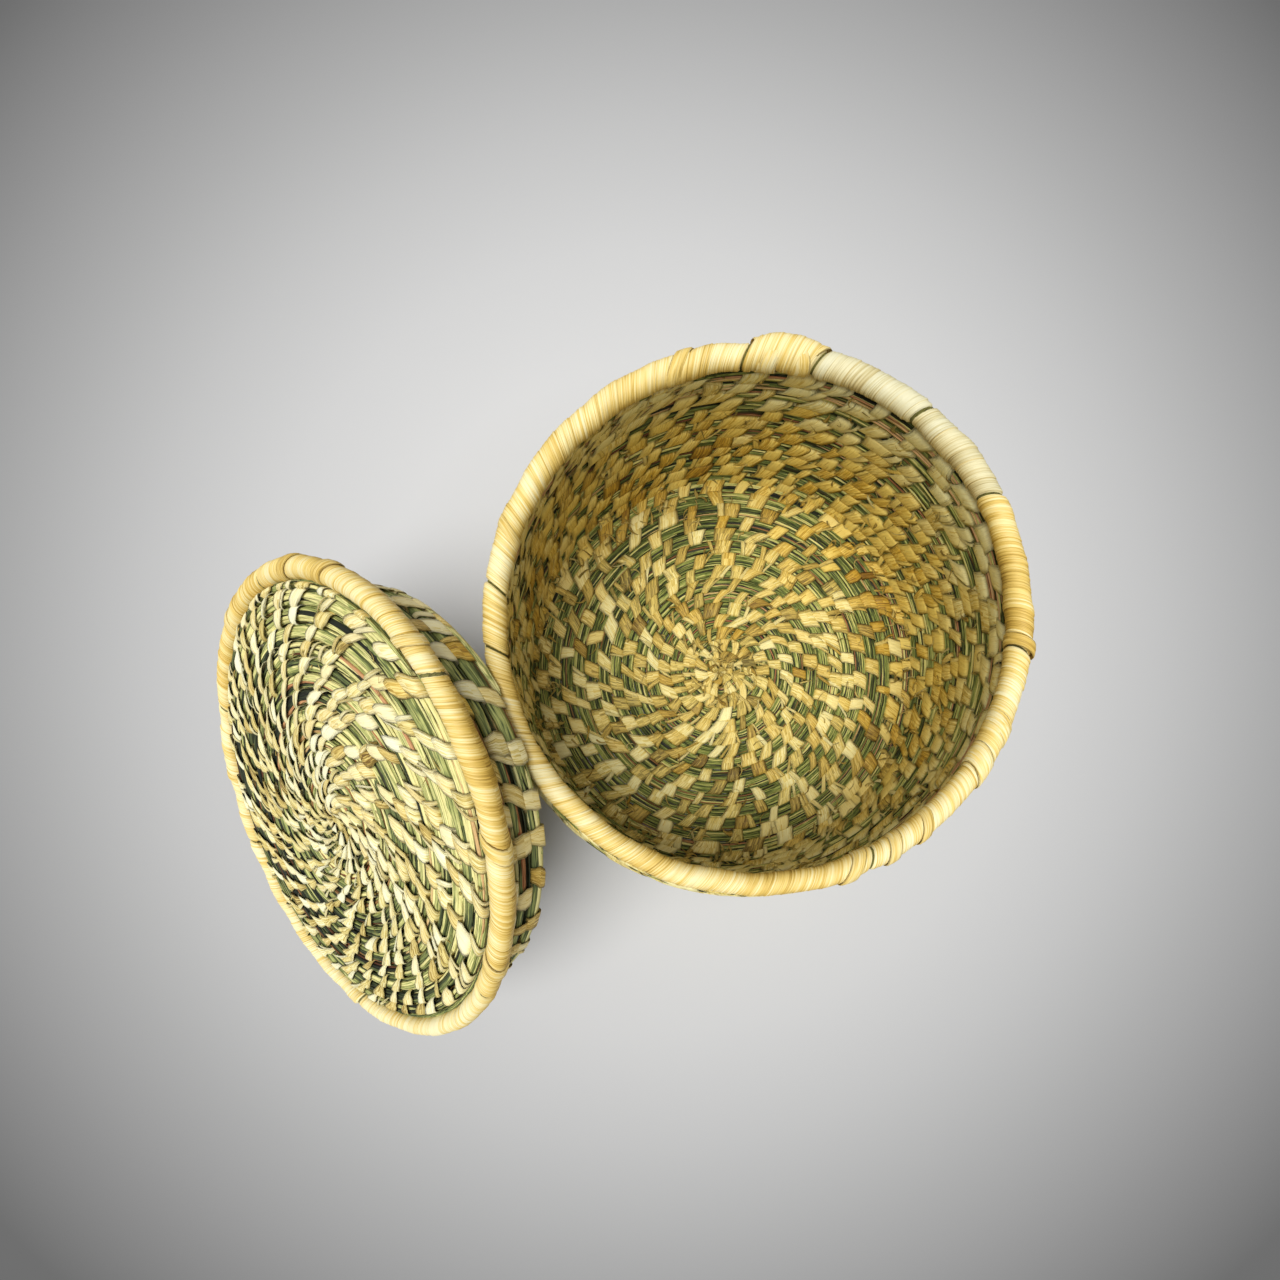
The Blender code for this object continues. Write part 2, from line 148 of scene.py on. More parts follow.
@dataclass
class Profile:
    """The line that a coil's rows follow, in the half plane of radius and height.

    Attributes:
        outline: radius and height pairs along the line.
        reach: the distance to each side over which the line's direction is measured.
    """

    outline: Array
    reach: float = 0.00385

    def __post_init__(self) -> None:
        """Measure the line's length up to each of its points."""
        steps = np.linalg.norm(np.diff(self.outline, axis=0), axis=1)
        self.lengths = np.concatenate([[0.0], np.cumsum(steps)])

    def point(self, length: Array) -> tuple[Array, Array]:
        """Return the radius and the height at each length."""
        radius = np.interp(length, self.lengths, self.outline[:, 0])
        return radius, np.interp(length, self.lengths, self.outline[:, 1])

    def along(self, length: Array) -> tuple[Array, Array]:
        """Measure the line's direction.

        Args:
            length: places along the line.

        Returns:
            The direction at each place, as radius and height parts.
        """
        low = self.point(np.maximum(length - self.reach, 0.0))
        high = self.point(np.minimum(length + self.reach, self.lengths[-1]))
        size = np.hypot(high[0] - low[0], high[1] - low[1])
        return (high[0] - low[0]) / size, (high[1] - low[1]) / size


@dataclass
class Coil:
    """The path of one bundle of stems, wound in rows along a profile.

    Attributes:
        profile: the line that the rows follow.
        start: the length along the profile at which the first row begins.
        halves: half the row thickness before and after the bundle grows.
        turns: how many turns there are.
        end_angle: the angle at which the bundle's tail ends.
        growth_turn: the turn from which the bundle grows.
        ground: the height below which nothing reaches, in the piece's own axes.
        seat: where the piece stands in the frame.
        tip_fraction: the share of its thickness that the bundle has at its tips.
        growth_turns: how many turns it takes to grow.
        steps: how many places are worked out for each turn.
    """

    profile: Profile
    start: float
    halves: Span
    turns: float
    end_angle: float
    growth_turn: float = 0.0
    ground: float = -1.0
    seat: Matrix = field(default_factory=lambda: Matrix.Identity(4))
    tip_fraction: float = 0.15
    growth_turns: float = 2.0
    steps: int = 16

    def __post_init__(self) -> None:
        """Work out the rows' places and the bundle's length once, at the frame's own rings."""
        self.ring_turns = np.arange(round(self.turns * self.steps) + 1) / self.steps
        places = self.start + self.half(self.ring_turns)
        for inner in range(1, math.ceil(self.turns) + 1):
            under = self.ring_turns - inner
            places += np.where(under > -1e-9, 2.0 * self.half(under) + ROW_GAP, 0.0)
        self.places = places
        radius = self.profile.point(places)[0]
        steps = np.hypot(FULL_TURN * (radius[1:] + radius[:-1]) / 2.0 / self.steps, np.diff(places))
        self.distances = np.concatenate([[0.0], np.cumsum(steps)])

    def full_half(self, turn: Array) -> Array:
        """Return half the bundle's thickness, the taper of its ends left out."""
        grown = np.clip((turn - self.growth_turn) / self.growth_turns, 0.0, 1.0)
        return self.halves[0] + (self.halves[1] - self.halves[0]) * grown

    def half(self, turn: Array) -> Array:
        """Return half the row thickness, thin at the bundle's tips."""
        from_tip = np.clip(np.minimum(turn, self.turns - turn), 0.0, 1.0)
        return self.full_half(turn) * (self.tip_fraction + (1.0 - self.tip_fraction) * from_tip)

    def radius(self, turn: Array) -> Array:
        """Return the distance of the bundle's middle from the axis."""
        return self.profile.point(np.interp(turn, self.ring_turns, self.places))[0]

    def distance(self, turn: Array) -> Array:
        """Return how far along the bundle a turn is."""
        return np.interp(turn, self.ring_turns, self.distances)

    def turn_at(self, distance: Array) -> Array:
        """Return the turn at a distance along the bundle."""
        return np.interp(distance, self.distances, self.ring_turns)

    def angle(self, turn: Array) -> Array:
        """Return the angle about the axis."""
        return self.end_angle + FULL_TURN * (self.turns - turn)

    def height(self, turn: Array) -> Array:
        """Return the height of the bundle's middle, in the piece's own axes."""
        return self.profile.point(np.interp(turn, self.ring_turns, self.places))[1]

    def section(self, turn: Array, around: Array, shrink: float, squareness: float) -> tuple[Array, Array]:
        """Return a point of the bundle's rounded section.

        Args:
            turn: where along the coil.
            around: angle round the section; a quarter turn faces the side that is seen.
            shrink: how far inside the frame's own section the point lies.
            squareness: 1 for an ellipse, less for a squarer section.

        Returns:
            The distance across the row, towards the next row, and towards the side that is seen.
        """
        across = signed_power(np.cos(around), squareness) * (self.half(turn) - shrink)
        seen = signed_power(np.sin(around), squareness) * (self.full_half(turn) * DEPTH_RATIO - shrink)
        return across, seen

    def spots(self, turn: Array, across: Array, seen: Array) -> Array:
        """Turn places on the bundle into points of the frame.

        Args:
            turn: where along the coil.
            across: the distance across the row, towards the next row.
            seen: the distance towards the side that is seen.

        Returns:
            The points, their coordinates last.
        """
        length = np.interp(turn, self.ring_turns, self.places)
        radius, height = self.profile.point(length)
        along_radius, along_height = self.profile.along(length)
        out_radius = radius + along_radius * across - along_height * seen
        out_height = height + along_height * across + along_radius * seen
        return seated(self.seat, out_radius, np.maximum(out_height, self.ground), self.angle(turn))


@dataclass
class Form:
    """A plain tube or ring whose copies are laid along a path.

    Attributes:
        along: how many faces it has along its length, or round the ring.
        around: how many faces it has round its section.
        closed: whether it closes on itself as a ring; a tube has flat caps.
        ring_radius: the ring's radius before it is laid, for a section of radius 1.
        weld: how close the points of a seam are.
    """

    along: int
    around: int
    closed: bool = False
    ring_radius: float = 2.0
    weld: float = 1e-5

    def __post_init__(self) -> None:
        """Bend a grid into the form, weld its seams and close its ends."""
        shell = bmesh.new()
        shell.loops.layers.uv.new("UVMap")
        bmesh.ops.create_grid(shell, x_segments=self.along, y_segments=self.around, size=0.5, calc_uvs=True)
        for vert in shell.verts:
            vert.co = self._bent(vert.co.x + 0.5, (vert.co.y + 0.5) * FULL_TURN)
        bmesh.ops.remove_doubles(shell, verts=shell.verts, dist=self.weld)
        open_edges = [edge for edge in shell.edges if edge.is_boundary]
        if open_edges:
            bmesh.ops.holes_fill(shell, edges=open_edges, sides=self.around)
        bmesh.ops.recalc_face_normals(shell, faces=shell.faces)
        self.mesh = bpy.data.meshes.new("form")
        shell.to_mesh(self.mesh)
        shell.free()
        spots = np.array([vert.co for vert in self.mesh.vertices])
        if self.closed:
            self.part = np.arctan2(spots[:, 1], spots[:, 0]) / FULL_TURN % 1.0
            self.turn = np.arctan2(spots[:, 2], np.hypot(spots[:, 0], spots[:, 1]) - self.ring_radius)
        else:
            self.part = spots[:, 0]
            self.turn = np.arctan2(spots[:, 2], spots[:, 1])

    def _bent(self, part: float, turn: float) -> Vector:
        """Bend one point of the grid.

        Args:
            part: the part of the way along the form.
            turn: the angle round its section.

        Returns:
            The point's place on the tube or ring.
        """
        if not self.closed:
            return Vector((part, math.cos(turn), math.sin(turn)))
        radius = self.ring_radius + math.cos(turn)
        sweep = part * FULL_TURN
        return Vector((radius * math.cos(sweep), radius * math.sin(sweep), math.sin(turn)))

    def _copies(self, count: int) -> bpy.types.Mesh:
        """Repeat the form in one mesh.

        Args:
            count: how many copies there are.

        Returns:
            A mesh with copy after copy, all in the form's own place.
        """
        holder = shown("holder", self.mesh)
        repeat = holder.modifiers.new("copies", "ARRAY")
        repeat.count = count
        repeat.use_relative_offset = False
        evaluated = holder.evaluated_get(bpy.context.evaluated_depsgraph_get())
        mesh = bpy.data.meshes.new_from_object(evaluated)
        bpy.data.objects.remove(holder)
        return mesh

    def lay(self, name: str, count: int, place: Place, traits: Traits,
            length_mm: float = 1.0) -> bpy.types.Object:
        """Lay copies of the form where a rule says, as one piece.

        Args:
            name: the piece's name.
            count: how many copies it has.
            place: gives every copy's points.
            traits: values kept on the points, one for each copy or for each point.
            length_mm: what the texture map's length is multiplied by.

        Returns:
            The piece's object, at the origin.
        """
        mesh = self._copies(count)
        mesh.name = name
        spots = place(self.part[None, :], self.turn[None, :])
        mesh.vertices.foreach_set("co", np.ascontiguousarray(spots, np.float32).ravel())
        whole = (count, len(self.part))
        for trait, values in traits.items():
            values = np.asarray(values, np.float32)
            spread = np.broadcast_to(values[:, None] if values.ndim == 1 else values, whole)
            attribute = mesh.attributes.new(trait, "FLOAT", "POINT")
            attribute.data.foreach_set("value", np.ascontiguousarray(spread).ravel())
        if length_mm != 1.0:
            stretched = np.empty(len(mesh.loops) * 2, np.float32)
            mesh.uv_layers[0].data.foreach_get("uv", stretched)
            stretched[0::2] *= length_mm
            mesh.uv_layers[0].data.foreach_set("uv", stretched)
        shell = bmesh.new()
        shell.from_mesh(mesh)
        bmesh.ops.recalc_face_normals(shell, faces=shell.faces)
        shell.to_mesh(mesh)
        shell.free()
        mesh.polygons.foreach_set("use_smooth", np.ones(len(mesh.polygons), bool))
        return shown(name, mesh)


class Net:
    """A shader node tree, with short ways to add, feed and join its nodes."""

    def __init__(self, tree: bpy.types.NodeTree) -> None:
        """Take the tree that the nodes go into."""
        self.tree = tree

    def feed(self, node: bpy.types.Node, feeds: Feeds) -> None:
        """Link or set a node's inputs.

        Args:
            node: the node that is fed.
            feeds: what each input gets.
        """
        for entry, value in feeds.items():
            if isinstance(value, bpy.types.Node):
                value = value.outputs[0]
            if isinstance(value, bpy.types.NodeSocket):
                self.tree.links.new(value, node.inputs[entry])
            else:
                node.inputs[entry].default_value = value

    def add(self, kind: str, feeds: Feeds, **settings: object) -> bpy.types.Node:
        """Add a node.

        Args:
            kind: the node's type, without the word ShaderNode.
            feeds: what each of its inputs gets.
            settings: the node's own settings.

        Returns:
            The node.
        """
        node = self.tree.nodes.new("ShaderNode" + kind)
        for setting, value in settings.items():
            setattr(node, setting, value)
        self.feed(node, feeds)
        return node

    def ramp(self, level: object, shades: Shades) -> bpy.types.Node:
        """Add a colour ramp.

        Args:
            level: the node or socket that is looked up on the ramp.
            shades: the ramp's stops.

        Returns:
            The ramp's node.
        """
        ramp = self.add("ValToRGB", {"Fac": level})
        stops = ramp.color_ramp.elements
        while len(stops) < len(shades):
            stops.new(0.5)
        for stop, (place, *colour) in zip(stops, shades):
            stop.position = place
            stop.color = (*colour, 1.0)
        return ramp


def new_material(name: str) -> tuple[bpy.types.Material, Net, bpy.types.Node]:
    """Start a material.

    Args:
        name: the material's name.

    Returns:
        The material, its net and its main shader.
    """
    material = bpy.data.materials.new(name)
    material.use_nodes = True
    return material, Net(material.node_tree), material.node_tree.nodes["Principled BSDF"]


class Groups:
    """Shader node groups that several finishes share."""

    # Far steps through the noise, so that strips with other seeds look different.
    SEED_STEPS = (17.3, 9.1, 31.7)
    # Each output of noise along the fibres, with its scale and detail.
    NOISES = (("Streak", 1.0, 3.0), ("Fine", 3.1, 2.0))

    def __init__(self) -> None:
        """Build each group once."""
        self.fibres = self._fibres()
        self.patches = self._patches()

    @staticmethod
    def _new(name: str, inputs: dict[str, str],
             outputs: tuple[str, ...]) -> tuple[Net, bpy.types.Node, bpy.types.Node]:
        """Make an empty group.

        Args:
            name: the group's name.
            inputs: the kind of each input.
            outputs: the outputs, all of them plain numbers.

        Returns:
            The group's net, and the nodes of its inputs and its outputs.
        """
        tree = bpy.data.node_groups.new(name, "ShaderNodeTree")
        for socket, kind in inputs.items():
            tree.interface.new_socket(socket, in_out="INPUT", socket_type=kind)
        for socket in outputs:
            tree.interface.new_socket(socket, in_out="OUTPUT", socket_type="NodeSocketFloat")
        return Net(tree), tree.nodes.new("NodeGroupInput"), tree.nodes.new("NodeGroupOutput")

    def _fibres(self) -> bpy.types.NodeTree:
        """Draw lengthwise fibres on a strip's own texture map, different on every strip.

        Returns:
            The group: soft streaks, fine streaks and thin lines between fibres.
        """
        inputs = {"Scale": "NodeSocketVector", "Seed": "NodeSocketFloat"}
        net, enter, leave = self._new("plant_fibres", inputs, ("Streak", "Fine", "Line"))
        chart = net.add("UVMap", {})
        scaled = net.add("VectorMath", {0: chart, 1: enter.outputs["Scale"]}, operation="MULTIPLY")
        apart = net.add("VectorMath", {0: self.SEED_STEPS, "Scale": enter.outputs["Seed"]}, operation="SCALE")
        moved = net.add("VectorMath", {0: scaled, 1: apart})
        for socket, scale, detail in self.NOISES:
            noise = net.add("TexNoise", {"Vector": moved, "Scale": scale, "Detail": detail, "Roughness": 0.6})
            spread = net.add("MapRange", {"Value": noise.outputs["Fac"], "From Min": 0.28, "From Max": 0.72})
            net.feed(leave, {socket: spread})
        split = net.add("TexNoise", {"Vector": moved, "Scale": 0.9, "Detail": 1.0})
        middle = net.add("Math", {0: split.outputs["Fac"], 1: 0.5}, operation="SUBTRACT")
        size = net.add("Math", {0: middle}, operation="ABSOLUTE")
        line = net.add("MapRange", {"Value": size, "From Max": 0.075, "To Min": 1.0, "To Max": 0.0})
        net.feed(leave, {"Line": line})
        return net.tree

    def _patches(self) -> bpy.types.NodeTree:
        """Draw soft patches of age and dryness over a whole piece.

        Returns:
            The group.
        """
        net, enter, leave = self._new("aged_patches", {"Scale": "NodeSocketFloat"}, ("Patch",))
        place = net.add("TexCoord", {}).outputs["Object"]
        noise = net.add("TexNoise", {"Vector": place, "Scale": enter.outputs["Scale"], "Detail": 4.0})
        spread = net.add("MapRange", {"Value": noise.outputs["Fac"], "From Min": 0.35, "From Max": 0.65})
        net.feed(leave, {"Patch": spread})
        return net.tree


@dataclass(frozen=True)
class Finish:
    """How one kind of dried stem or strip looks.

    Attributes:
        name: the material's name.
        shades: colours from the darkest tone to the lightest.
        accent: colours that the accent trait brings in, in the same order.
        fibre_scale: fibres along and across a strip's texture map.
        fibre_share: how much the soft streaks change the tone.
        line_share: how much darker the thin lines between fibres are.
        roughness: least and most roughness.
        relief: height of the fibres.
        fine_part: how much the fine streaks count against the soft ones.
        patch_share: how much the patches of age change the tone.
        patch_scale: patches of age in a metre.
        bump_strength: how strongly the fibres' height is shaded.
        shine: the level of the soft reflection.
    """

    name: str
    shades: Shades
    accent: Shades
    fibre_scale: Span
    fibre_share: float = 0.40
    line_share: float = 0.35
    roughness: Span = (0.5, 0.8)
    relief: float = 0.0005
    fine_part: float = 0.6
    patch_share: float = 0.15
    patch_scale: float = 22.0
    bump_strength: float = 0.9
    shine: float = 0.35

    def material(self, groups: Groups) -> bpy.types.Material:
        """Build the finish's node tree.

        Args:
            groups: the shared shader groups.

        Returns:
            The material, which reads the tone, accent and seed kept on a piece's points.
        """
        material, net, shader = new_material(self.name)
        level, accent, seed = (net.add("Attribute", {}, attribute_name=name).outputs["Fac"] for name in TRAITS)
        feeds = {"Scale": (*self.fibre_scale, 1.0), "Seed": seed}
        fibres = net.add("Group", feeds, node_tree=groups.fibres).outputs
        patches = net.add("Group", {"Scale": self.patch_scale}, node_tree=groups.patches)
        for change, share in (
            (fibres["Streak"], self.fibre_share),
            (fibres["Fine"], self.fibre_share * self.fine_part),
            (patches, self.patch_share),
            (fibres["Line"], -self.line_share),
        ):
            part = net.add("Math", {0: change, 1: share, 2: -share / 2.0}, operation="MULTIPLY_ADD")
            level = net.add("Math", {0: level, 1: part})
        mixed = net.add("Mix", {"Factor": accent}, data_type="RGBA")
        for socket, shades in (("A", self.shades), ("B", self.accent)):
            names = [entry.name if entry.type == "RGBA" else "" for entry in mixed.inputs]
            net.feed(mixed, {names.index(socket): net.ramp(level, shades)})
        limits = {"To Min": self.roughness[1], "To Max": self.roughness[0]}
        bump = {"Height": fibres["Streak"], "Distance": self.relief, "Strength": self.bump_strength}
        net.feed(shader, {
            "Base Color": next(entry for entry in mixed.outputs if entry.type == "RGBA"),
            "Roughness": net.add("MapRange", {"Value": fibres["Streak"], **limits}),
            "Normal": net.add("Bump", bump),
            "Specular IOR Level": self.shine,
        })
        return material


STRAW_ACCENT: Shades = (
    (0.0, 0.14, 0.060, 0.006),
    (0.35, 0.36, 0.195, 0.016),
    (0.7, 0.62, 0.380, 0.040),
    (1.0, 0.84, 0.620, 0.140),
)
BROWN_ACCENT: Shades = (
    (0.0, 0.12, 0.035, 0.012),
    (0.5, 0.38, 0.120, 0.035),
    (1.0, 0.64, 0.330, 0.150),
)
FLOOR_STEM = Finish(
    "dry_stem_green",
    (
        (0.0, 0.010, 0.012, 0.003),
        (0.25, 0.042, 0.054, 0.009),
        (0.50, 0.132, 0.160, 0.028),
        (0.75, 0.340, 0.370, 0.080),
        (1.0, 0.720, 0.640, 0.210),
    ),
    BROWN_ACCENT,
    (7.0, 4.0),
)
LID_LEAF = Finish(
    "dry_leaf_green",
    (
        (0.0, 0.010, 0.013, 0.006),
        (0.25, 0.050, 0.065, 0.022),
        (0.50, 0.160, 0.192, 0.058),
        (0.75, 0.425, 0.445, 0.135),
        (1.0, 0.840, 0.765, 0.320),
    ),
    BROWN_ACCENT,
    (5.0, 7.0),
)
# The cores' near-black colours are painted shade, seen between the stems.
PAINTED_SHADE_CORE = Finish(
    "painted_shade_core",
    (
        (0.0, 0.006, 0.006, 0.002),
        (0.5, 0.018, 0.018, 0.005),
        (1.0, 0.055, 0.048, 0.012),
    ),
    BROWN_ACCENT,
    (400.0, 8.0),
)
STRAW_STRAP = Finish(
    "straw_strap",
    (
        (0.0, 0.145, 0.105, 0.022),
        (0.30, 0.420, 0.320, 0.078),
        (0.65, 0.770, 0.590, 0.145),
        (1.0, 0.920, 0.830, 0.400),
    ),
    STRAW_ACCENT,
    (1.4, 34.0),
    fibre_share=0.60,
    line_share=0.36,
    roughness=(0.42, 0.7),
)
LID_STRAP = Finish(
    "pale_straw_strap",
    (
        (0.0, 0.180, 0.115, 0.024),
        (0.25, 0.500, 0.370, 0.088),
        (0.50, 0.770, 0.635, 0.215),
        (0.78, 0.880, 0.800, 0.390),
        (1.0, 0.940, 0.910, 0.620),
    ),
    STRAW_ACCENT,
    (1.4, 30.0),
    fibre_share=0.66,
    line_share=0.46,
    roughness=(0.42, 0.7),
)
RAFFIA_WRAP = Finish(
    "raffia_wrap",
    (
        (0.0, 0.300, 0.170, 0.026),
        (0.25, 0.560, 0.370, 0.070),
        (0.6, 0.800, 0.590, 0.170),
        (1.0, 0.860, 0.780, 0.460),
    ),
    STRAW_ACCENT,
    (1.0, 1.1),
    fibre_share=0.34,
    line_share=0.22,
    roughness=(0.40, 0.65),
    relief=0.0003,
)
# Greyer, darker raffia for some lengths of a rim.
RAFFIA_GREY = replace(
    RAFFIA_WRAP,
    name="raffia_grey",
    shades=(
        (0.0, 0.190, 0.140, 0.050),
        (0.25, 0.390, 0.320, 0.140),
        (0.6, 0.570, 0.500, 0.260),
        (1.0, 0.680, 0.640, 0.420),
    ),
    line_share=0.26,
)
RAFFIA_RIBBON = Finish(
    "raffia_ribbon",
    RAFFIA_WRAP.shades,
    STRAW_ACCENT,
    (1.6, 15.0),
    roughness=(0.40, 0.65),
)


@dataclass
class Dresser:
    """Gives pieces their finish and body, and hides the CAD nodes they stand for.

    Attributes:
        groups: the shader groups that the finishes share.
        made: the materials made so far, by name.
    """

    groups: Groups
    made: dict[str, bpy.types.Material] = field(default_factory=dict)

    def dress(self, item: bpy.types.Object, finish: Finish, slot: Slot, body: str, *nodes: str) -> None:
        """Finish one piece and report it.

        Args:
            item: the piece.
            finish: how it looks.
            slot: the record's material slot; not used.
            body: the CAD body that it rides on.
            nodes: the CAD nodes that it stands for.
        """
        if finish.name not in self.made:
            self.made[finish.name] = finish.material(self.groups)
        item.data.materials.clear()
        item.data.materials.append(self.made[finish.name])
        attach(item, body)
        if nodes:
            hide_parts(*nodes)
        log.info("%s: %d faces", item.name, len(item.data.polygons))


@dataclass
class Core:
    """The inside of a bundle, which shows only between its stems; its near-black colour is painted shade.

    Attributes:
        coil: the bundle's path.
        first: the turn at which it begins.
        last: the turn at which it ends.
        shrink: how far it lies inside the bundle's outline.
        rings_per_turn: how many faces it has along each turn.
        sides: how many faces it has round its section.
    """

    coil: Coil
    first: float
    last: float
    shrink: float = 0.00055
    rings_per_turn: int = 40
    sides: int = 10

    def build(self, name: str) -> bpy.types.Object:
        """Model the core as one tube along the coil.

        Args:
            name: the piece's name.

        Returns:
            The piece.
        """
        form = Form(round((self.last - self.first) * self.rings_per_turn), self.sides)

        def place(part: Array, turn: Array) -> Array:
            """Lay the tube's points on the coil.

            Args:
                part: the part of the way along the tube.
                turn: the angle round its section.

            Returns:
                The points.
            """
            where = self.first + (self.last - self.first) * part
            return self.coil.spots(where, *self.coil.section(where, turn, self.shrink, BUNDLE_SQUARENESS))

        traits = {"tone": np.full(1, 0.5), "accent": np.zeros(1), "seed": np.zeros(1)}
        return form.lay(name, 1, place, traits)


@dataclass
class StemLayer:
    """Stems or leaf strips that lie side by side over a bundle.

    Attributes:
        coil: the bundle's path.
        first: the turn at which they begin.
        last: the turn at which they end.
        lanes: how many lie side by side.
        sector: the section angles, in degrees, that the lanes fill; 90 is the seen side.
        half_width: least and most half width.
        half_depth: half the thickness of a thin stem.
        sink: how far a stem's middle lies inside the bundle's outline.
        light_share: the share of pale stems.
        light_lift: how much paler those are.
        accent_share: the share of brown and orange ones.
        tone: mean and spread of the tone.
        painted_side_light: painted light and shade: how much paler the stems are on one side and darker on the
            other, and that side's angle in degrees.
        seed: starts the random numbers.
        rings: how many faces a stem has along its length.
        sides: how many faces it has round its section.
        longest_step: the most that one of its faces may be long.
        least_steps: how many faces a full turn has at least.
        sway: how far it sways round the section, and how quickly.
        tip: the share of its size that it has at its tips, and what is added away from them.
        tip_reach: the part of its length over which a tip thins out.
        tuck: how far its tips are tucked in, in half thicknesses.
        length_spread: least and most length, as a share of its faces at their longest.
        shortest: the fewest steps that a stem may be long.
        depth_spread: least and most thickness, as a share.
        arch: least and most height by which its middle stands up.
        brown_width: the width of a brown stem, as a share.
        lap: the share of its length after which the next one in its lane begins.
        lane_scatter: how far it lies off its lane, in lanes.
        drift: how far it moves to the next lane on its way, in lanes.
    """

    coil: Coil
    first: float
    last: float
    lanes: int
    sector: Span
    half_width: Span
    half_depth: float = 0.00048
    sink: float = 0.00050
    light_share: float = 0.20
    light_lift: float = 0.38
    accent_share: float = 0.07
    tone: Span = (0.46, 0.25)
    painted_side_light: Span = (0.0, 0.0)
    seed: int = 1
    rings: int = 13
    sides: int = 5
    longest_step: float = 0.0085
    least_steps: float = 15.0
    sway: Span = (0.04, 7.0)
    tip: Span = (0.18, 0.82)
    tip_reach: float = 0.14
    tuck: float = 0.9
    length_spread: Span = (0.75, 1.25)
    shortest: float = 2.5
    depth_spread: Span = (0.8, 1.25)
    arch: Span = (-0.00008, 0.00022)
    brown_width: float = 0.7
    lap: Span = (0.88, 0.99)
    lane_scatter: float = 0.16
    drift: float = 0.55

    def build(self, name: str) -> bpy.types.Object:
        """Model every stem as a closed tapering tube, all in one piece.

        Args:
            name: the piece's name.

        Returns:
            The piece.
        """
        rng = np.random.default_rng(self.seed)
        plan = self._plan(rng)
        form = Form(self.rings, self.sides)
        count = len(plan["begin"])
        twist = rng.uniform(0.0, FULL_TURN, (count, 1))

        def place(part: Array, turn: Array) -> Array:
            """Lay each stem along its lane, its ends thin and tucked in.

            Args:
                part: the part of the way along a stem.
                turn: the angle round its section.

            Returns:
                The points, a row for each stem.
            """
            where = self.coil.turn_at(plan["begin"] + plan["length"] * part)
            sway = self.sway[0] * np.sin(part * self.sway[1] + twist)
            around = plan["lane"] + plan["drift"] * (part - 0.5) + sway
            across, seen = self.coil.section(where, around, self.sink, BUNDLE_SQUARENESS)
            normal_across = np.cos(around)
            normal_seen = np.sin(around)
            from_end = np.minimum(part, 1.0 - part)
            full = self.tip[0] + self.tip[1] * smooth_step(0.0, self.tip_reach, from_end)
            wide = plan["half_width"] * full * np.cos(turn)
            arch = plan["arch"] * np.sin(part * math.pi)
            high = plan["half_depth"] * (full * np.sin(turn) + full - self.tuck) + arch
            across = across - normal_seen * wide + normal_across * high
            seen = seen + normal_across * wide + normal_seen * high
            return self.coil.spots(where, across, seen)

        return form.lay(name, count, place, {key: plan[key][:, 0] for key in TRAITS})

    def _plan(self, rng: np.random.Generator) -> Traits:
        """Choose where each stem begins and how it looks.

        Args:
            rng: the source of random numbers.

        Returns:
            Columns of values, a row for each stem.
        """
        rows = []
        low, high = (math.radians(angle) for angle in self.sector)
        lane_step = (high - low) / self.lanes
        begin, end = self.coil.distance(self.first), self.coil.distance(self.last)
        for lane in range(self.lanes):
            middle = low + (lane + 0.5) * lane_step
            spot = begin - rng.uniform(0.0, 0.05)
            while spot < end:
                radius = float(self.coil.radius(self.coil.turn_at(spot)))
                step = min(self.longest_step, FULL_TURN * radius / self.least_steps)
                length = step * self.rings * rng.uniform(*self.length_spread)
                stop = min(spot + length, end)
                clipped = max(spot, begin)
                if stop - clipped > self.shortest * step:
                    off = rng.normal(0.0, self.lane_scatter) * lane_step
                    rows.append((clipped, stop - clipped, middle + off))
                spot += length * rng.uniform(*self.lap)
        count = len(rows)
        begin_column, length_column, lane_column = (np.array(column)[:, None] for column in zip(*rows))
        pale = rng.random((count, 1)) < self.light_share
        angle = self.coil.angle(self.coil.turn_at(begin_column + length_column / 2.0))
        tone = rng.normal(self.tone[0], self.tone[1], (count, 1)) + np.where(pale, self.light_lift, 0.0)
        # Painted light and shade: paler on one side of the piece, darker on the other.
        tone += self.painted_side_light[0] * np.cos(angle - math.radians(self.painted_side_light[1]))
        brown = rng.random((count, 1)) < self.accent_share
        return {
            "begin": begin_column,
            "length": length_column,
            "lane": lane_column,
            "drift": rng.normal(0.0, self.drift, (count, 1)) * lane_step,
            "half_width": rng.uniform(*self.half_width, (count, 1)) * np.where(brown, self.brown_width, 1.0),
            "half_depth": self.half_depth * rng.uniform(*self.depth_spread, (count, 1)),
            "arch": rng.uniform(*self.arch, (count, 1)),
            "tone": tone,
            "accent": np.where(brown, rng.uniform(0.6, 1.0, (count, 1)), 0.0),
            "seed": rng.random((count, 1)),
        }


# Paler lobes, and the basket's golden lobes, are painted light and shade on the straps; sparser lobes only
# space them.
@dataclass(frozen=True)
class Lobe:
    """A side of the piece on which straps are more golden, paler or sparser.

    Attributes:
        share: how much is added where it is strongest.
        angle_deg: the angle about the axis at which it is strongest.
        narrowness: how quickly it fades away from that angle; 0 for all the way round.
        radii: radii between which it sets in.
        heights: heights between which it fades out.
    """

    share: float
    angle_deg: float = 0.0
    narrowness: float = 0.0
    radii: Span = (-2.0, -1.0)
    heights: Span = (1.0, 2.0)

    def level(self, angle: Array, radius: Array, height: Array) -> Array:
        """Work out what the lobe adds.

        Args:
            angle: the angle about the piece's axis.
            radius: the distance from it.
            height: the height along it.

        Returns:
            What is added at each place.
        """
        side = (0.5 + 0.5 * np.cos(angle - math.radians(self.angle_deg))) ** self.narrowness
        within = self.share * side * smooth_step(*self.radii, radius)
        return within * (1.0 - smooth_step(*self.heights, height))


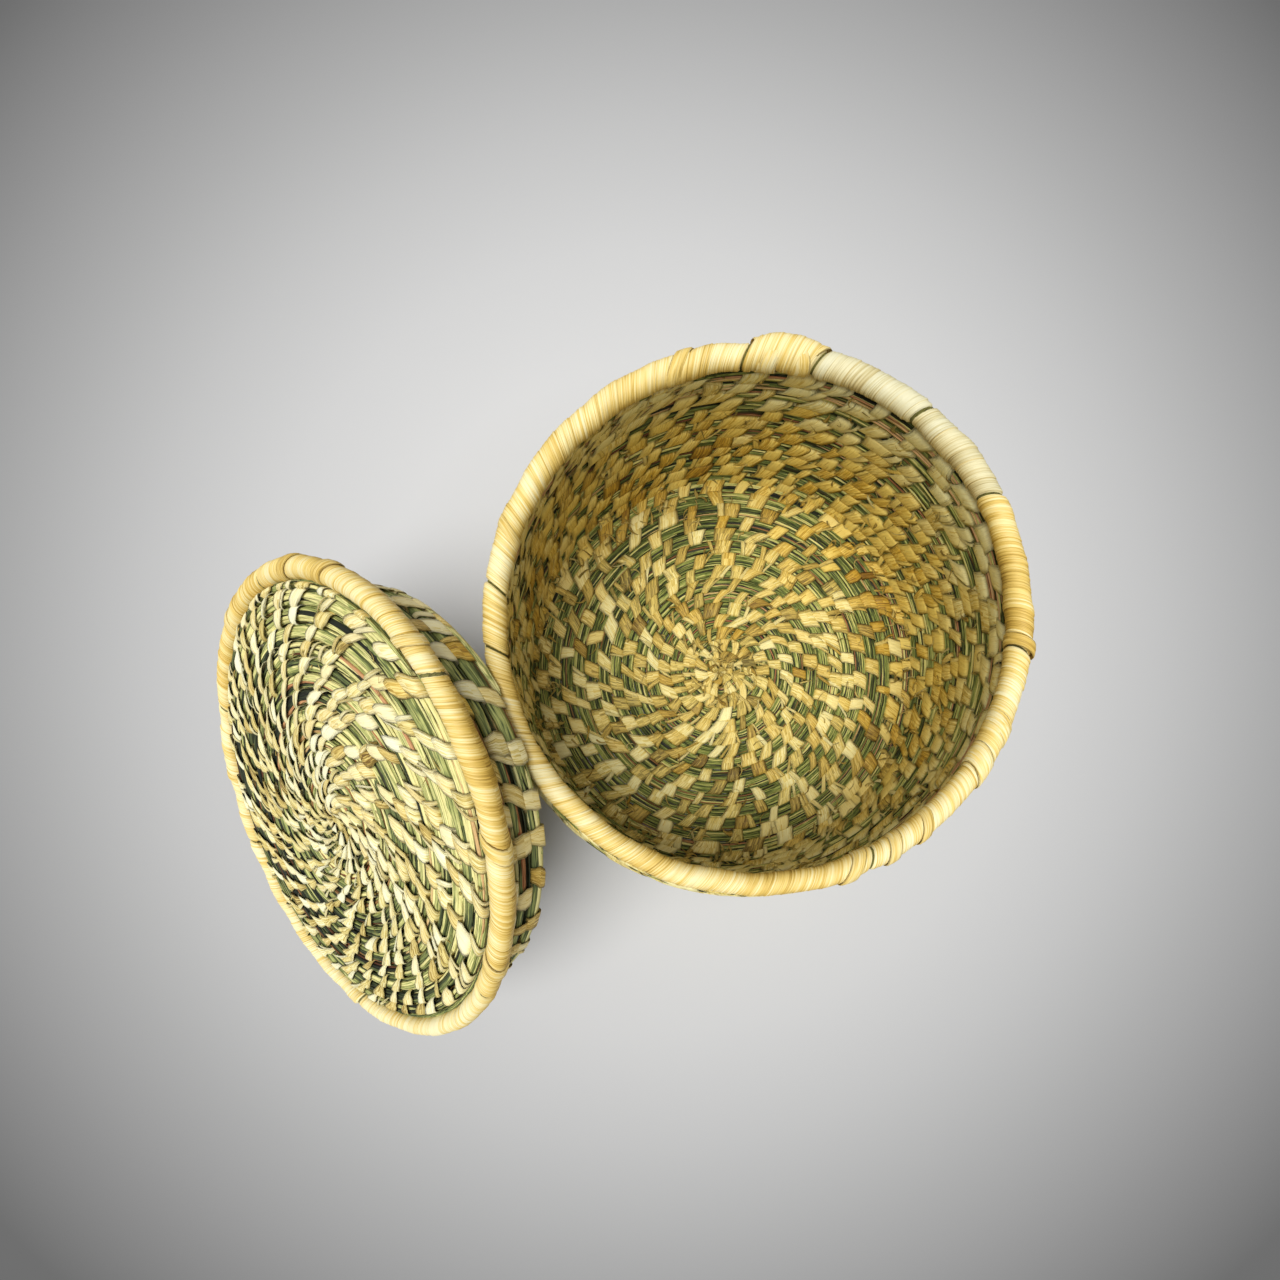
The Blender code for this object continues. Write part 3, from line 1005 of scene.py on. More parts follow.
@dataclass(frozen=True)
class Tint:
    """How golden, pale or sparse the straps of a piece are, from place to place.

    Attributes:
        base: the level away from all lobes.
        lobes: the sides on which it is higher or lower.
    """

    base: float
    lobes: tuple[Lobe, ...] = ()

    def level(self, angle: Array, radius: Array, height: Array) -> Array:
        """Return the level at each place."""
        return self.base + sum((lobe.level(angle, radius, height) for lobe in self.lobes), 0.0 * angle)


@dataclass
class Stitching:
    """Flat straw straps that bind each row of a bundle to the next.

    Where it can, a strap starts a set distance past the end of one in the row before it. Without that
    distance the straps form the curved chains of a coiled disc; with half a spacing they lie like
    bricks.

    Attributes:
        coil: the bundle's path.
        first: the turn of the first strap.
        last: the turn after which there are none.
        spacing: pairs of a radius and the distance between straps there.
        width: pairs of a radius and the width of a strap there.
        slant: how far a strap moves along the row for its way across.
        middle_slant: the same close to the coil's start.
        slant_scatter: random part of the slant.
        throat: the share of its width that a strap has where it comes up between the rows.
        leave: the share that it keeps where it goes down again.
        follow: how far, in spacings, a strap moves to keep its offset.
        scatter: random share of the spacing.
        width_scatter: random share of the width.
        companion_share: the share of straps with a thin strip beside them.
        companion_width: least and most width of such a strip, as a share of the strap's.
        companion_place: how far from the strap's middle it lies, in the strap's widths.
        companion_slant: how much more or less than the strap it slants.
        bite: how far it reaches over the row before.
        sparse: how much wider the spacing is, from place to place.
        offset: how many spacings past the end of a strap in the row before the next one starts.
        lift: how far a strap's middle stands up.
        curl: how far its middle lies over its edges, at least and at most.
        bend: spread of how far its middle lies along the row.
        stand: how far it stands off the bundle's outline.
        thickness: of the straw.
        squareness: 1 for a round way over the bundle, less for a flatter one.
        corners: the same for the strap's own section.
        tone: mean and spread of the tone.
        gold: how golden the straps are, from place to place; on the basket's floor and wall its lobes are
            painted shade.
        gold_scatter: random part of that.
        paler: painted light and shade: how much paler or darker the straps are, from place to place.
        seed: starts the random numbers.
        faces_round: how many faces a strap has along its way round the bundle.
        faces_across: how many faces it has round its own section.
        seen_faces: how much closer together its faces lie on the seen side.
        slant_radii: the radii between which the slant changes.
        least_radius: the least radius that a strap's slant is worked out with.
    """

    coil: Coil
    first: float
    last: float
    spacing: Pairs
    width: Pairs
    slant: float = 0.6
    middle_slant: float = 0.6
    slant_scatter: float = 0.22
    throat: float = 1.0
    leave: float = 1.0
    follow: float = 0.14
    scatter: float = 0.18
    width_scatter: float = 0.17
    companion_share: float = 0.3
    companion_width: Span = (0.18, 0.42)
    companion_place: Span = (0.35, 0.75)
    companion_slant: Span = (0.1, 0.6)
    bite: float = 0.0010
    sparse: Tint = Tint(0.0)
    offset: float = 0.0
    lift: float = 0.00025
    curl: Span = (-0.00035, 0.00020)
    bend: float = 0.0006
    stand: float = 0.00030
    thickness: float = 0.00042
    squareness: float = 0.42
    corners: float = 0.7
    tone: Span = (0.66, 0.17)
    gold: Tint = Tint(0.0)
    gold_scatter: float = 0.20
    paler: Tint = Tint(0.0)
    seed: int = 2
    faces_round: int = 14
    faces_across: int = 6
    seen_faces: float = 0.3
    slant_radii: Span = (0.010, 0.050)
    least_radius: float = 0.004

    def build(self, name: str) -> bpy.types.Object:
        """Model every strap as a closed flat ring round its row, all in one piece.

        Args:
            name: the piece's name.

        Returns:
            The piece.
        """
        rng = np.random.default_rng(self.seed)
        plan = self._plan(rng)
        form = Form(self.faces_round, self.faces_across, closed=True)

        def place(part: Array, turn: Array) -> Array:
            """Lay each strap round the section of its row, more of its faces on the seen side.

            Args:
                part: the part of the way round the row.
                turn: the angle round the strap's own section.

            Returns:
                The points, a row for each strap.
            """
            sweep = FULL_TURN * part
            around = math.pi / 2.0 - (sweep - self.seen_faces * np.sin(sweep))
            middle = plan["turn"] + 0.0 * part
            across, seen = self.coil.section(middle, around, -self.stand, self.squareness)
            way = across / self.coil.half(middle)
            across = across + plan["bite"] * (way - 1.0) / 2.0
            rising = np.maximum(np.sin(around), 0.0)
            throat, leave = plan["throat"], plan["leave"]
            widened = throat + (1.0 - throat) * smooth_step(-1.0, 0.1, way)
            widened = widened * (1.0 - (1.0 - leave) * smooth_step(0.3, 1.0, way))
            beside = signed_power(np.cos(turn), self.corners) * plan["width"] / 2.0 * widened
            crown = signed_power(np.sin(turn), self.corners) * self.thickness / 2.0 + plan["lift"] * rising**2
            crown = crown - plan["curl"] * np.cos(turn) ** 2 * rising
            across = across + np.cos(around) * crown
            seen = seen + np.sin(around) * crown
            shift = plan["slant"] * across + beside + plan["bend"] * rising**2
            radius = np.maximum(self.coil.radius(middle), self.least_radius)
            return self.coil.spots(middle + shift / (FULL_TURN * radius), across, seen)

        return form.lay(name, len(plan["turn"]), place, {key: plan[key][:, 0] for key in TRAITS})

    def _slanted(self, radius: Array) -> Array:
        """Return the slant that straps have at a radius."""
        return np.interp(radius, self.slant_radii, (self.middle_slant, self.slant))

    def _turns(self, rng: np.random.Generator) -> list[float]:
        """Choose the turn of every strap, guided by the straps of the row before.

        Args:
            rng: the source of random numbers.

        Returns:
            The turns, in rising order.
        """
        placed: list[float] = []
        carried: list[float] = []
        turn = self.first
        while turn < self.last:
            placed.append(turn)
            radius = float(self.coil.radius(turn))
            pitch = 2.0 * float(self.coil.full_half(turn)) + ROW_GAP
            step = float(np.interp(radius, *zip(*self.spacing))) / (FULL_TURN * radius)
            step *= 1.0 + float(self.sparse.level(self.coil.angle(turn), radius, self.coil.height(turn)))
            slope = float(self._slanted(radius)) * pitch / (FULL_TURN * radius)
            carried.append(turn + 1.0 + slope + self.offset * step)
            target = turn + step
            near = bisect_left(carried, target)
            choices = [spot for spot in carried[max(near - 1, 0):near + 1] if spot > turn + 0.4 * step]
            best = min(choices, key=lambda spot: abs(spot - target), default=None)
            if best is not None and abs(best - target) < self.follow * step:
                target = best
            turn = max(target + rng.normal(0.0, self.scatter) * step, turn + 0.3 * step)
        return placed

    def _plan(self, rng: np.random.Generator) -> Traits:
        """Choose where each strap goes and how it looks.

        Args:
            rng: the source of random numbers.

        Returns:
            Columns of values, a row for each strap and then one for each thin strip beside a strap.
        """
        turns = np.array(self._turns(rng))
        count = len(turns)
        radius = self.coil.radius(turns)
        width = np.interp(radius, *zip(*self.width))
        width = width * np.clip(rng.normal(1.0, self.width_scatter, count), 0.5, 1.6)
        width *= 1.0 + 0.3 * self.sparse.level(self.coil.angle(turns), radius, self.coil.height(turns))
        beside = rng.random(count) < self.companion_share
        thin = np.flatnonzero(beside)
        side = rng.choice([-1.0, 1.0], len(thin))
        offset = side * width[thin] * rng.uniform(*self.companion_place, len(thin)) / (FULL_TURN * radius[thin])
        slant = self._slanted(radius) + rng.normal(0.0, self.slant_scatter, count)
        thin_slant = slant[thin] + side * rng.uniform(*self.companion_slant, len(thin))
        all_turns = np.concatenate([turns, turns[thin] + offset])
        total = len(all_turns)
        lift = np.concatenate([np.full(count, self.lift), np.full(len(thin), self.lift * 1.5)])
        places = self.coil.angle(all_turns), self.coil.radius(all_turns), self.coil.height(all_turns)
        tone = rng.normal(*self.tone, count)
        tone = np.concatenate([tone, rng.normal(self.tone[0] + 0.08, 0.2, len(thin))])
        # The gold lobes on the basket paint shade; the random part is the straw's own colour.
        gold = np.clip(self.gold.level(*places) + rng.normal(0.0, self.gold_scatter, total), 0.0, 1.0)
        plan = {
            "turn": np.clip(all_turns, 0.05, self.coil.turns - 0.02),
            "width": np.concatenate([width, width[thin] * rng.uniform(*self.companion_width, len(thin))]),
            "slant": np.concatenate([slant, thin_slant]),
            "lift": lift * rng.uniform(0.4, 1.6, total),
            "curl": rng.uniform(*self.curl, total),
            "bend": rng.normal(0.0, self.bend, total),
            "bite": np.minimum(self.bite * rng.uniform(0.5, 1.5, total), 0.8 * self.coil.half(all_turns)),
            "throat": self.throat * rng.uniform(0.80, 1.16, total),
            "leave": self.leave * rng.uniform(0.82, 1.18, total),
            # Painted light and shade: the straps are paler or darker by side and height.
            "tone": tone + self.paler.level(*places),
            "accent": gold,
            "seed": rng.random(total),
        }
        return {key: np.asarray(values)[:, None] for key, values in plan.items()}


@dataclass
class Frays:
    """Loose slivers of straw that stand up from the stitching.

    Attributes:
        coil: the bundle that they come out of.
        spots: first and last turn, and how many slivers stand between them.
        length: least and most length.
        half_width: half the width of a sliver at its root.
        gold: how golden they are, from 0 to 1.
        seed: starts the random numbers.
        faces: how many faces a sliver has along its length and round its section.
        taper: the share of its width that it loses up to its point.
        rise: least and most height that it rises to, as a share of its length.
        curl: spread of how far it turns on its way, in radians.
        droop: how far it goes over and down again, in radians.
        thickness: its thickness against its width.
        least_radius: the least radius that its way along the row is worked out with.
    """

    coil: Coil
    spots: tuple[tuple[float, float, int], ...]
    length: Span = (0.004, 0.012)
    half_width: float = 0.0007
    gold: float = 0.5
    seed: int = 3
    faces: tuple[int, int] = (6, 4)
    taper: float = 0.85
    rise: Span = (0.15, 0.75)
    curl: float = 1.3
    droop: float = 2.2
    thickness: float = 0.35
    least_radius: float = 0.006

    def build(self, name: str) -> bpy.types.Object:
        """Model the slivers as thin curved strips that taper to a point.

        Args:
            name: the piece's name.

        Returns:
            The piece.
        """
        rng = np.random.default_rng(self.seed)
        turns = np.concatenate([rng.uniform(low, high, number) for low, high, number in self.spots])
        count = len(turns)
        column = (count, 1)
        length = rng.uniform(*self.length, column)
        heading = rng.uniform(0.0, FULL_TURN, column)
        rise = rng.uniform(*self.rise, column)
        curl = rng.normal(0.0, self.curl, column)
        start = rng.uniform(-0.8, 0.8, column)
        width = self.half_width * rng.uniform(0.4, 1.6, column)

        def place(part: Array, turn: Array) -> Array:
            """Lay each sliver from its root in the row, out and over.

            Args:
                part: the part of the way along a sliver.
                turn: the angle round its section.

            Returns:
                The points, a row for each sliver.
            """
            where = turns[:, None] + 0.0 * part
            direction = heading + curl * part
            taper = (1.0 - self.taper * part) * width
            run = length * part
            half = self.coil.half(where)
            depth = self.coil.full_half(where) * DEPTH_RATIO
            across = start * half + run * np.sin(direction) - np.cos(direction) * taper * np.cos(turn)
            forward = run * np.cos(direction) + np.sin(direction) * taper * np.cos(turn)
            over = length * rise * np.sin(part * self.droop) * 0.5
            seen = depth * 0.9 + over + self.thickness * taper * np.sin(turn)
            radius = np.maximum(self.coil.radius(where), self.least_radius)
            return self.coil.spots(where + forward / (FULL_TURN * radius), across, seen)

        traits = {
            "tone": rng.normal(0.55, 0.18, count),
            "accent": np.clip(rng.normal(self.gold, 0.25, count), 0.0, 1.0),
            "seed": rng.random(count),
        }
        return Form(*self.faces).lay(name, count, place, traits)


@dataclass
class Rim:
    """A ring of stems with lengths of raffia wrapped round it.

    Attributes:
        ring_radius: distance of the ring's middle from the axis.
        height: the ring's height, in the piece's own axes.
        ends_deg: angles at which one length of raffia ends and the next begins.
        gold: how golden each length is, from 0 to 1.
        pale: how much paler than usual each length is.
        swell: how much thicker each length is in its middle.
        ties: angle in degrees, width, lean, height and gold of each ribbon tied over the wrapping.
        thickness: of the wrapped rim.
        greyed: which lengths have the greyer, darker raffia.
        spliced: whether a thick splice is the last length and closes the ring.
        seat: where the piece stands in the frame.
        show_gap: the gap between two lengths, in which the stems show.
        splice_extra: how much thicker the splice is.
        lean: how far along the rim a turn of raffia leans.
        ring_step: the distance between the rings of a sleeve's points.
        sides: how many faces a sleeve has round its section.
        ribbon: least and most width of a ribbon of raffia.
        ribbon_step: how high each ribbon lies over the last.
        thread: least and most width of a ribbon's threads.
        thread_height: least and most height of a thread.
        thread_share: how far the tone of a thread scatters.
        run_in: how far before the end of a sleeve its first ribbon and its first thread begin.
        tone: mean and spread of the ribbons' tone.
        gold_scatter: random part of the gold.
        sunk: how far the wrapping lies inside the frame's rim.
        end_dip: how far a sleeve's ends dip, and over what length.
        wave: how far the wrapping swells and shrinks in slow waves.
        wave_count: how many such waves there are.
        wave_pace: least and most pace of a wave, in radians for each metre.
        edge_shade: how much darker a ribbon is at its far edge and at its near edge.
        groove_shade: how much darker the grooves between threads are.
        side_shade: how much darker the rim's sides are than its top.
        side_gold: how much more golden they are.
        stem_radius: radius of the ring of stems.
        stem_faces: faces round the rim and round that ring's section.
        stem_map_mm: the length of its texture map.
        scallop: depth of the grooves between those stems.
        bed_shift: how far out and up from the ring the stems beside it lie.
        bed_count: how many of those there are.
        bed_radius: radius of the ring that they lie in, round their middle.
        bed_half: half the thickness of one of them.
        bed_faces: faces along each of them and round its section.
        bed_map_mm: the length of its texture map.
        tie_half: half the thickness of a ribbon tied over the wrapping.
        tie_edge: how far its edges lie down.
        tie_faces: faces along it and round its section.
        seed: starts the random numbers.
    """

    ring_radius: float
    height: float
    ends_deg: tuple[float, ...]
    gold: tuple[float, ...]
    pale: tuple[float, ...]
    swell: tuple[float, ...]
    ties: tuple[tuple[float, float, float, float, float], ...]
    thickness: float
    greyed: tuple[int, ...] = ()
    spliced: bool = False
    seat: Matrix = field(default_factory=lambda: Matrix.Identity(4))
    show_gap: float = 0.0012
    splice_extra: float = 0.0016
    lean: float = -0.0028
    ring_step: float = 0.00030
    sides: int = 18
    ribbon: Span = (0.0055, 0.0120)
    ribbon_step: float = 0.00026
    thread: Span = (0.0008, 0.0018)
    thread_height: Span = (0.00004, 0.00026)
    thread_share: float = 0.10
    run_in: Span = (0.004, 0.002)
    tone: Span = (0.66, 0.07)
    gold_scatter: float = 0.13
    sunk: float = 0.00042
    end_dip: Span = (0.0007, 0.0011)
    wave: float = 0.00024
    wave_count: int = 4
    wave_pace: Span = (60.0, 260.0)
    edge_shade: Span = (0.20, 0.08)
    groove_shade: float = 0.36
    side_shade: float = 0.18
    side_gold: float = 0.30
    stem_radius: float = 0.0044
    stem_faces: tuple[int, int] = (220, 30)
    stem_map_mm: float = 750.0
    scallop: float = 0.00018
    bed_shift: Span = (0.0020, -0.0055)
    bed_count: int = 9
    bed_radius: float = 0.0009
    bed_half: float = 0.0006
    bed_faces: tuple[int, int] = (96, 6)
    bed_map_mm: float = 30.0
    tie_half: float = 0.0003
    tie_edge: float = 0.0004
    tie_faces: tuple[int, int] = (18, 8)
    seed: int = 4

    def spots(self, angle: Array, around: Array, radius: Array, shift: tuple[Array, Array]) -> Array:
        """Return points of the rim's section, shifted out and up, at angles about the axis."""
        out = self.ring_radius + shift[0] + radius * np.cos(around)
        return seated(self.seat, out, self.height + shift[1] + radius * np.sin(around), angle)

    def _rng(self, number: int) -> np.random.Generator:
        """Start the random numbers of one of the rim's pieces."""
        return np.random.default_rng(self.seed * 100 + number)

    def stems(self, name: str) -> bpy.types.Object:
        """Model the ring of stems, scalloped and twisted, which shows in the gaps.

        Args:
            name: the piece's name.

        Returns:
            The piece.
        """

        def place(part: Array, turn: Array) -> Array:
            """Lay the ring's points, the stems twisting slowly round it.

            Args:
                part: the part of the way round the rim.
                turn: the angle round the ring's section.

            Returns:
                The points.
            """
            angle = FULL_TURN * part
            scallop = self.scallop * np.abs(np.sin(5.0 * turn + 6.0 * angle))
            return self.spots(angle, turn, self.stem_radius - scallop, (0.0, 0.0))

        traits = {"tone": np.full(1, 0.35), "accent": np.full(1, 0.15), "seed": np.zeros(1)}
        return Form(*self.stem_faces, closed=True).lay(name, 1, place, traits, self.stem_map_mm)

    def bed(self, name: str) -> bpy.types.Object:
        """Model the stems that fill the place where the coil's thin tail runs out beside the rim.

        Args:
            name: the piece's name.

        Returns:
            The piece.
        """
        rng = self._rng(BED_DRAWS)
        count = self.bed_count
        lane = (np.arange(count) * FULL_TURN / count)[:, None]

        def place(part: Array, turn: Array) -> Array:
            """Lay each stem round the whole rim, twisting slowly with the others.

            Args:
                part: the part of the way round the rim.
                turn: the angle round a stem's section.

            Returns:
                The points, a row for each stem.
            """
            angle = FULL_TURN * part
            sweep = lane + 2.0 * angle + 0.25 * np.sin(3.0 * angle + lane)
            out = self.bed_shift[0] + self.bed_radius * np.cos(sweep)
            up = self.bed_shift[1] + self.bed_radius * np.sin(sweep)
            return self.spots(angle, turn, self.bed_half, (out, up))

        traits = {
            "tone": rng.normal(0.45, 0.2, count),
            "accent": np.where(rng.random(count) < 0.25, 0.8, 0.0),
            "seed": rng.random(count),
        }
        return Form(*self.bed_faces, closed=True).lay(name, count, place, traits, self.bed_map_mm)

    def wrap(self, name: str, index: int) -> bpy.types.Object:
        """Model one length of raffia: ribbons wound side by side, each a step over the last.

        Args:
            name: the piece's name.
            index: which of the rim's lengths it is.

        Returns:
            The piece.
        """
        splice = index == len(self.ends_deg) - 1
        low = self.ends_deg[index]
        high = self.ends_deg[0] + 360.0 if splice else self.ends_deg[index + 1]
        inset = math.degrees(self.show_gap / 2.0 / self.ring_radius)
        first, last = math.radians(low + inset), math.radians(high - inset)
        length = (last - first) * self.ring_radius
        rng = self._rng(index)
        widths = rng.uniform(*self.ribbon, math.ceil(length / self.ribbon[0]) + 2)
        edges = np.cumsum(np.concatenate([[-self.run_in[0]], widths]))
        tones = rng.normal(*self.tone, len(edges) + 1) + self.pale[index]
        heights = rng.uniform(0.4, 1.4, len(edges) + 1) * self.ribbon_step
        golds = np.clip(self.gold[index] + rng.normal(0.0, self.gold_scatter, len(edges) + 1), 0.0, 1.0)
        limits = self.wave_pace, (0.0, FULL_TURN), (0.3, 1.0)
        waves = [[rng.uniform(*limit) for limit in limits] for _ in range(self.wave_count)]
        threads = np.cumsum(rng.uniform(*self.thread, math.ceil(length / self.thread[0]) + 2)) - self.run_in[1]
        thread_tones = rng.normal(0.0, self.thread_share, len(threads))
        thread_heights = rng.uniform(*self.thread_height, len(threads))
        form = Form(max(round(length / self.ring_step), 6), self.sides)

        def banded(run: Array, borders: Array) -> tuple[Array, Array]:
            """Return which band a place along the rim is in, and how far through it."""
            number = np.clip(np.searchsorted(borders, run) - 1, 0, len(borders) - 2)
            return number, (run - borders[number]) / (borders[number + 1] - borders[number])

        def place(part: Array, turn: Array) -> Array:
            """Lay the sleeve's points, its rings leaning with the raffia.

            Args:
                part: the part of the way along the length of raffia.
                turn: the angle round the rim's section.

            Returns:
                The points.
            """
            run = length * part
            number, through = banded(run, edges)
            thread, over = banded(run, threads)
            near_end = np.minimum(run, length - run)
            dip, reach = self.end_dip
            radius = self.thickness / 2.0 - dip * (1.0 - smooth_step(0.0, reach, near_end))
            radius = radius + heights[number] * (1.0 - through) - self.sunk
            radius = radius + thread_heights[thread] * np.sin(math.pi * np.clip(over, 0.0, 1.0)) ** 0.6
            for pace, phase, share in waves:
                radius = radius + self.wave * share * np.sin(run * pace + phase + np.cos(turn))
            body = np.sin(math.pi * np.clip(part, 0.0, 1.0)) ** 0.7
            radius = radius + self.swell[index] * body
            extra = self.splice_extra * body if splice else 0.0 * body
            angle = first + (last - first) * part + self.lean * np.cos(turn) / self.ring_radius
            return self.spots(angle, turn, radius + extra, (extra / 2.0, extra))

        number, through = banded(length * form.part, edges)
        thread, over = banded(length * form.part, threads)
        far_edge, near_edge = smooth_step(0.90, 1.0, through), 1.0 - smooth_step(0.0, 0.06, through)
        edge_shade = self.edge_shade[0] * far_edge + self.edge_shade[1] * near_edge
        groove = self.groove_shade * np.abs(2.0 * over - 1.0) ** 5
        beside = 1.0 - np.maximum(np.sin(form.turn), 0.0)
        tone = tones[number] + thread_tones[thread] - edge_shade - groove + 0.08 - self.side_shade * beside
        traits = {
            "tone": tone[None, :],
            "accent": np.clip(golds[number] + edge_shade + self.side_gold * beside - 0.06, 0.0, 1.0)[None, :],
            "seed": rng.random(1),
        }
        return form.lay(name, 1, place, traits, length * 1000.0)

    def bindings(self, name: str) -> bpy.types.Object:
        """Model single ribbons tied over the wrapping, where the photograph shows lumps.

        Args:
            name: the piece's name.

        Returns:
            The piece.
        """
        columns = np.array(self.ties)
        rng = self._rng(TIE_DRAWS)
        angle = np.radians(columns[:, 0:1])
        width, lean, stand = columns[:, 1:2], columns[:, 2:3], columns[:, 3:4]

        def place(part: Array, turn: Array) -> Array:
            """Lay each ribbon round the rim's section.

            Args:
                part: the part of the way round the section.
                turn: the angle round the ribbon's own section.

            Returns:
                The points, a row for each ribbon.
            """
            around = FULL_TURN * part
            side = signed_power(np.cos(turn), 0.6) * width / 2.0
            radius = self.thickness / 2.0 + stand + self.tie_half * signed_power(np.sin(turn), 0.7)
            radius = radius - self.tie_edge * np.cos(turn) ** 4
            where = angle + (side + lean * np.cos(around)) / self.ring_radius
            return self.spots(where, around, radius, (stand * 0.4, stand * 0.6))

        traits = {
            "tone": rng.normal(0.62, 0.1, len(columns)),
            "accent": columns[:, 4],
            "seed": rng.random(len(columns)),
        }
        return Form(*self.tie_faces, closed=True).lay(name, len(columns), place, traits)


@dataclass
class Knot:
    """A start knot: a button of straw wound over the beginning of a coil.

    Attributes:
        coil: the coil that starts at it.
        radius: the button's radius.
        foot: the height of its foot, in the piece's own axes.
        height: how high it is.
        seed: starts the random numbers.
        straps: how many straps cross over it.
        faces: faces along a strap and round its section.
        scatter: spread of the straps' headings, and of how far they lie off the middle.
        half_width: half the width of a strap.
        half_depth: half its thickness.
        layer: how much farther out each strap lies than the last.
    """

    coil: Coil
    radius: float
    foot: float
    height: float
    seed: int = 5
    straps: int = 9
    faces: tuple[int, int] = (14, 6)
    scatter: Span = (0.12, 0.0007)
    half_width: float = 0.0012
    half_depth: float = 0.0002
    layer: float = 0.00012

    def build(self, name: str) -> bpy.types.Object:
        """Model the knot as crossing straps over a small domed button.

        Args:
            name: the piece's name.

        Returns:
            The piece.
        """
        rng = np.random.default_rng(self.seed)
        count = self.straps
        headings = (np.arange(count) * math.pi / count + rng.normal(0.0, self.scatter[0], count))[:, None]
        offset = rng.normal(0.0, self.scatter[1], (count, 1))
        level = (np.arange(count)[:, None] - count / 2.0) * self.layer

        def place(part: Array, turn: Array) -> Array:
            """Lay each strap over the button's top and under its foot.

            Args:
                part: the part of the way round the button.
                turn: the angle round a strap's section.

            Returns:
                The points, a row for each strap.
            """
            around = FULL_TURN * part
            reach = signed_power(np.cos(around), 0.8) * (self.radius + level)
            rise = signed_power(np.sin(around), 0.8) * (self.height / 2.0 + level)
            narrowed = 1.0 - 0.3 * np.abs(np.cos(around))
            beside = offset + self.half_width * signed_power(np.cos(turn), 0.7) * narrowed
            thick = self.half_depth * np.sin(turn)
            x = (reach + thick * np.cos(around)) * np.cos(headings) - beside * np.sin(headings)
            y = (reach + thick * np.cos(around)) * np.sin(headings) + beside * np.cos(headings)
            z = np.maximum(self.foot + self.height / 2.0 + rise + thick * np.sin(around), self.coil.ground)
            return seated(self.coil.seat, np.hypot(x, y), z, np.arctan2(y, x))

        traits = {
            "tone": rng.normal(0.6, 0.12, count),
            "accent": rng.uniform(0.0, 0.6, count),
            "seed": rng.random(count),
        }
        return Form(*self.faces, closed=True).lay(name, count, place, traits)


@dataclass
class Assembly:
    """What the basket and the lid share: a body and the way its pieces are dressed.

    Attributes:
        dresser: gives the pieces their finish and reports them.
        body: the CAD body that they ride on, which is also the start of their names.
        rim_thickness: of the wrapped rim.
        knot_radius: radius of the start knot.
    """

    dresser: Dresser
    body: str = ""
    rim_thickness: float = 0.0107
    knot_radius: float = 0.0035

    def dress(self, item: bpy.types.Object, finish: Finish, slot: Slot, *nodes: str) -> None:
        """Dress one piece that rides on this body."""
        self.dresser.dress(item, finish, slot, self.body, *nodes)

    def dress_rim(self, rim: Rim, finish: Finish, slot: Slot) -> None:
        """Model and dress a rim: its stems, its lengths of raffia and the ribbons tied over them.

        Args:
            rim: the rim.
            finish: how its stems look.
            slot: the slot of the stems beside it.
        """
        start = f"{self.body}_rim_"
        self.dress(rim.stems(start + "stems"), finish, Slot.STEM_BROWN, start + "bundle")
        self.dress(rim.bed(start + "bed"), finish, slot)
        for index in range(len(rim.ends_deg) - 1):
            node = f"{start}wrap_{index + 1}"
            raffia = RAFFIA_GREY if index in rim.greyed else RAFFIA_WRAP
            self.dress(rim.wrap(node + "_raffia", index), raffia, Slot.RAFFIA, node)
        if rim.spliced:
            splice = rim.wrap(start + "splice_raffia", len(rim.ends_deg) - 1)
            self.dress(splice, RAFFIA_WRAP, Slot.RAFFIA_GOLD, start + "splice")
        self.dress(rim.bindings(start + "bindings"), RAFFIA_RIBBON, Slot.RAFFIA)


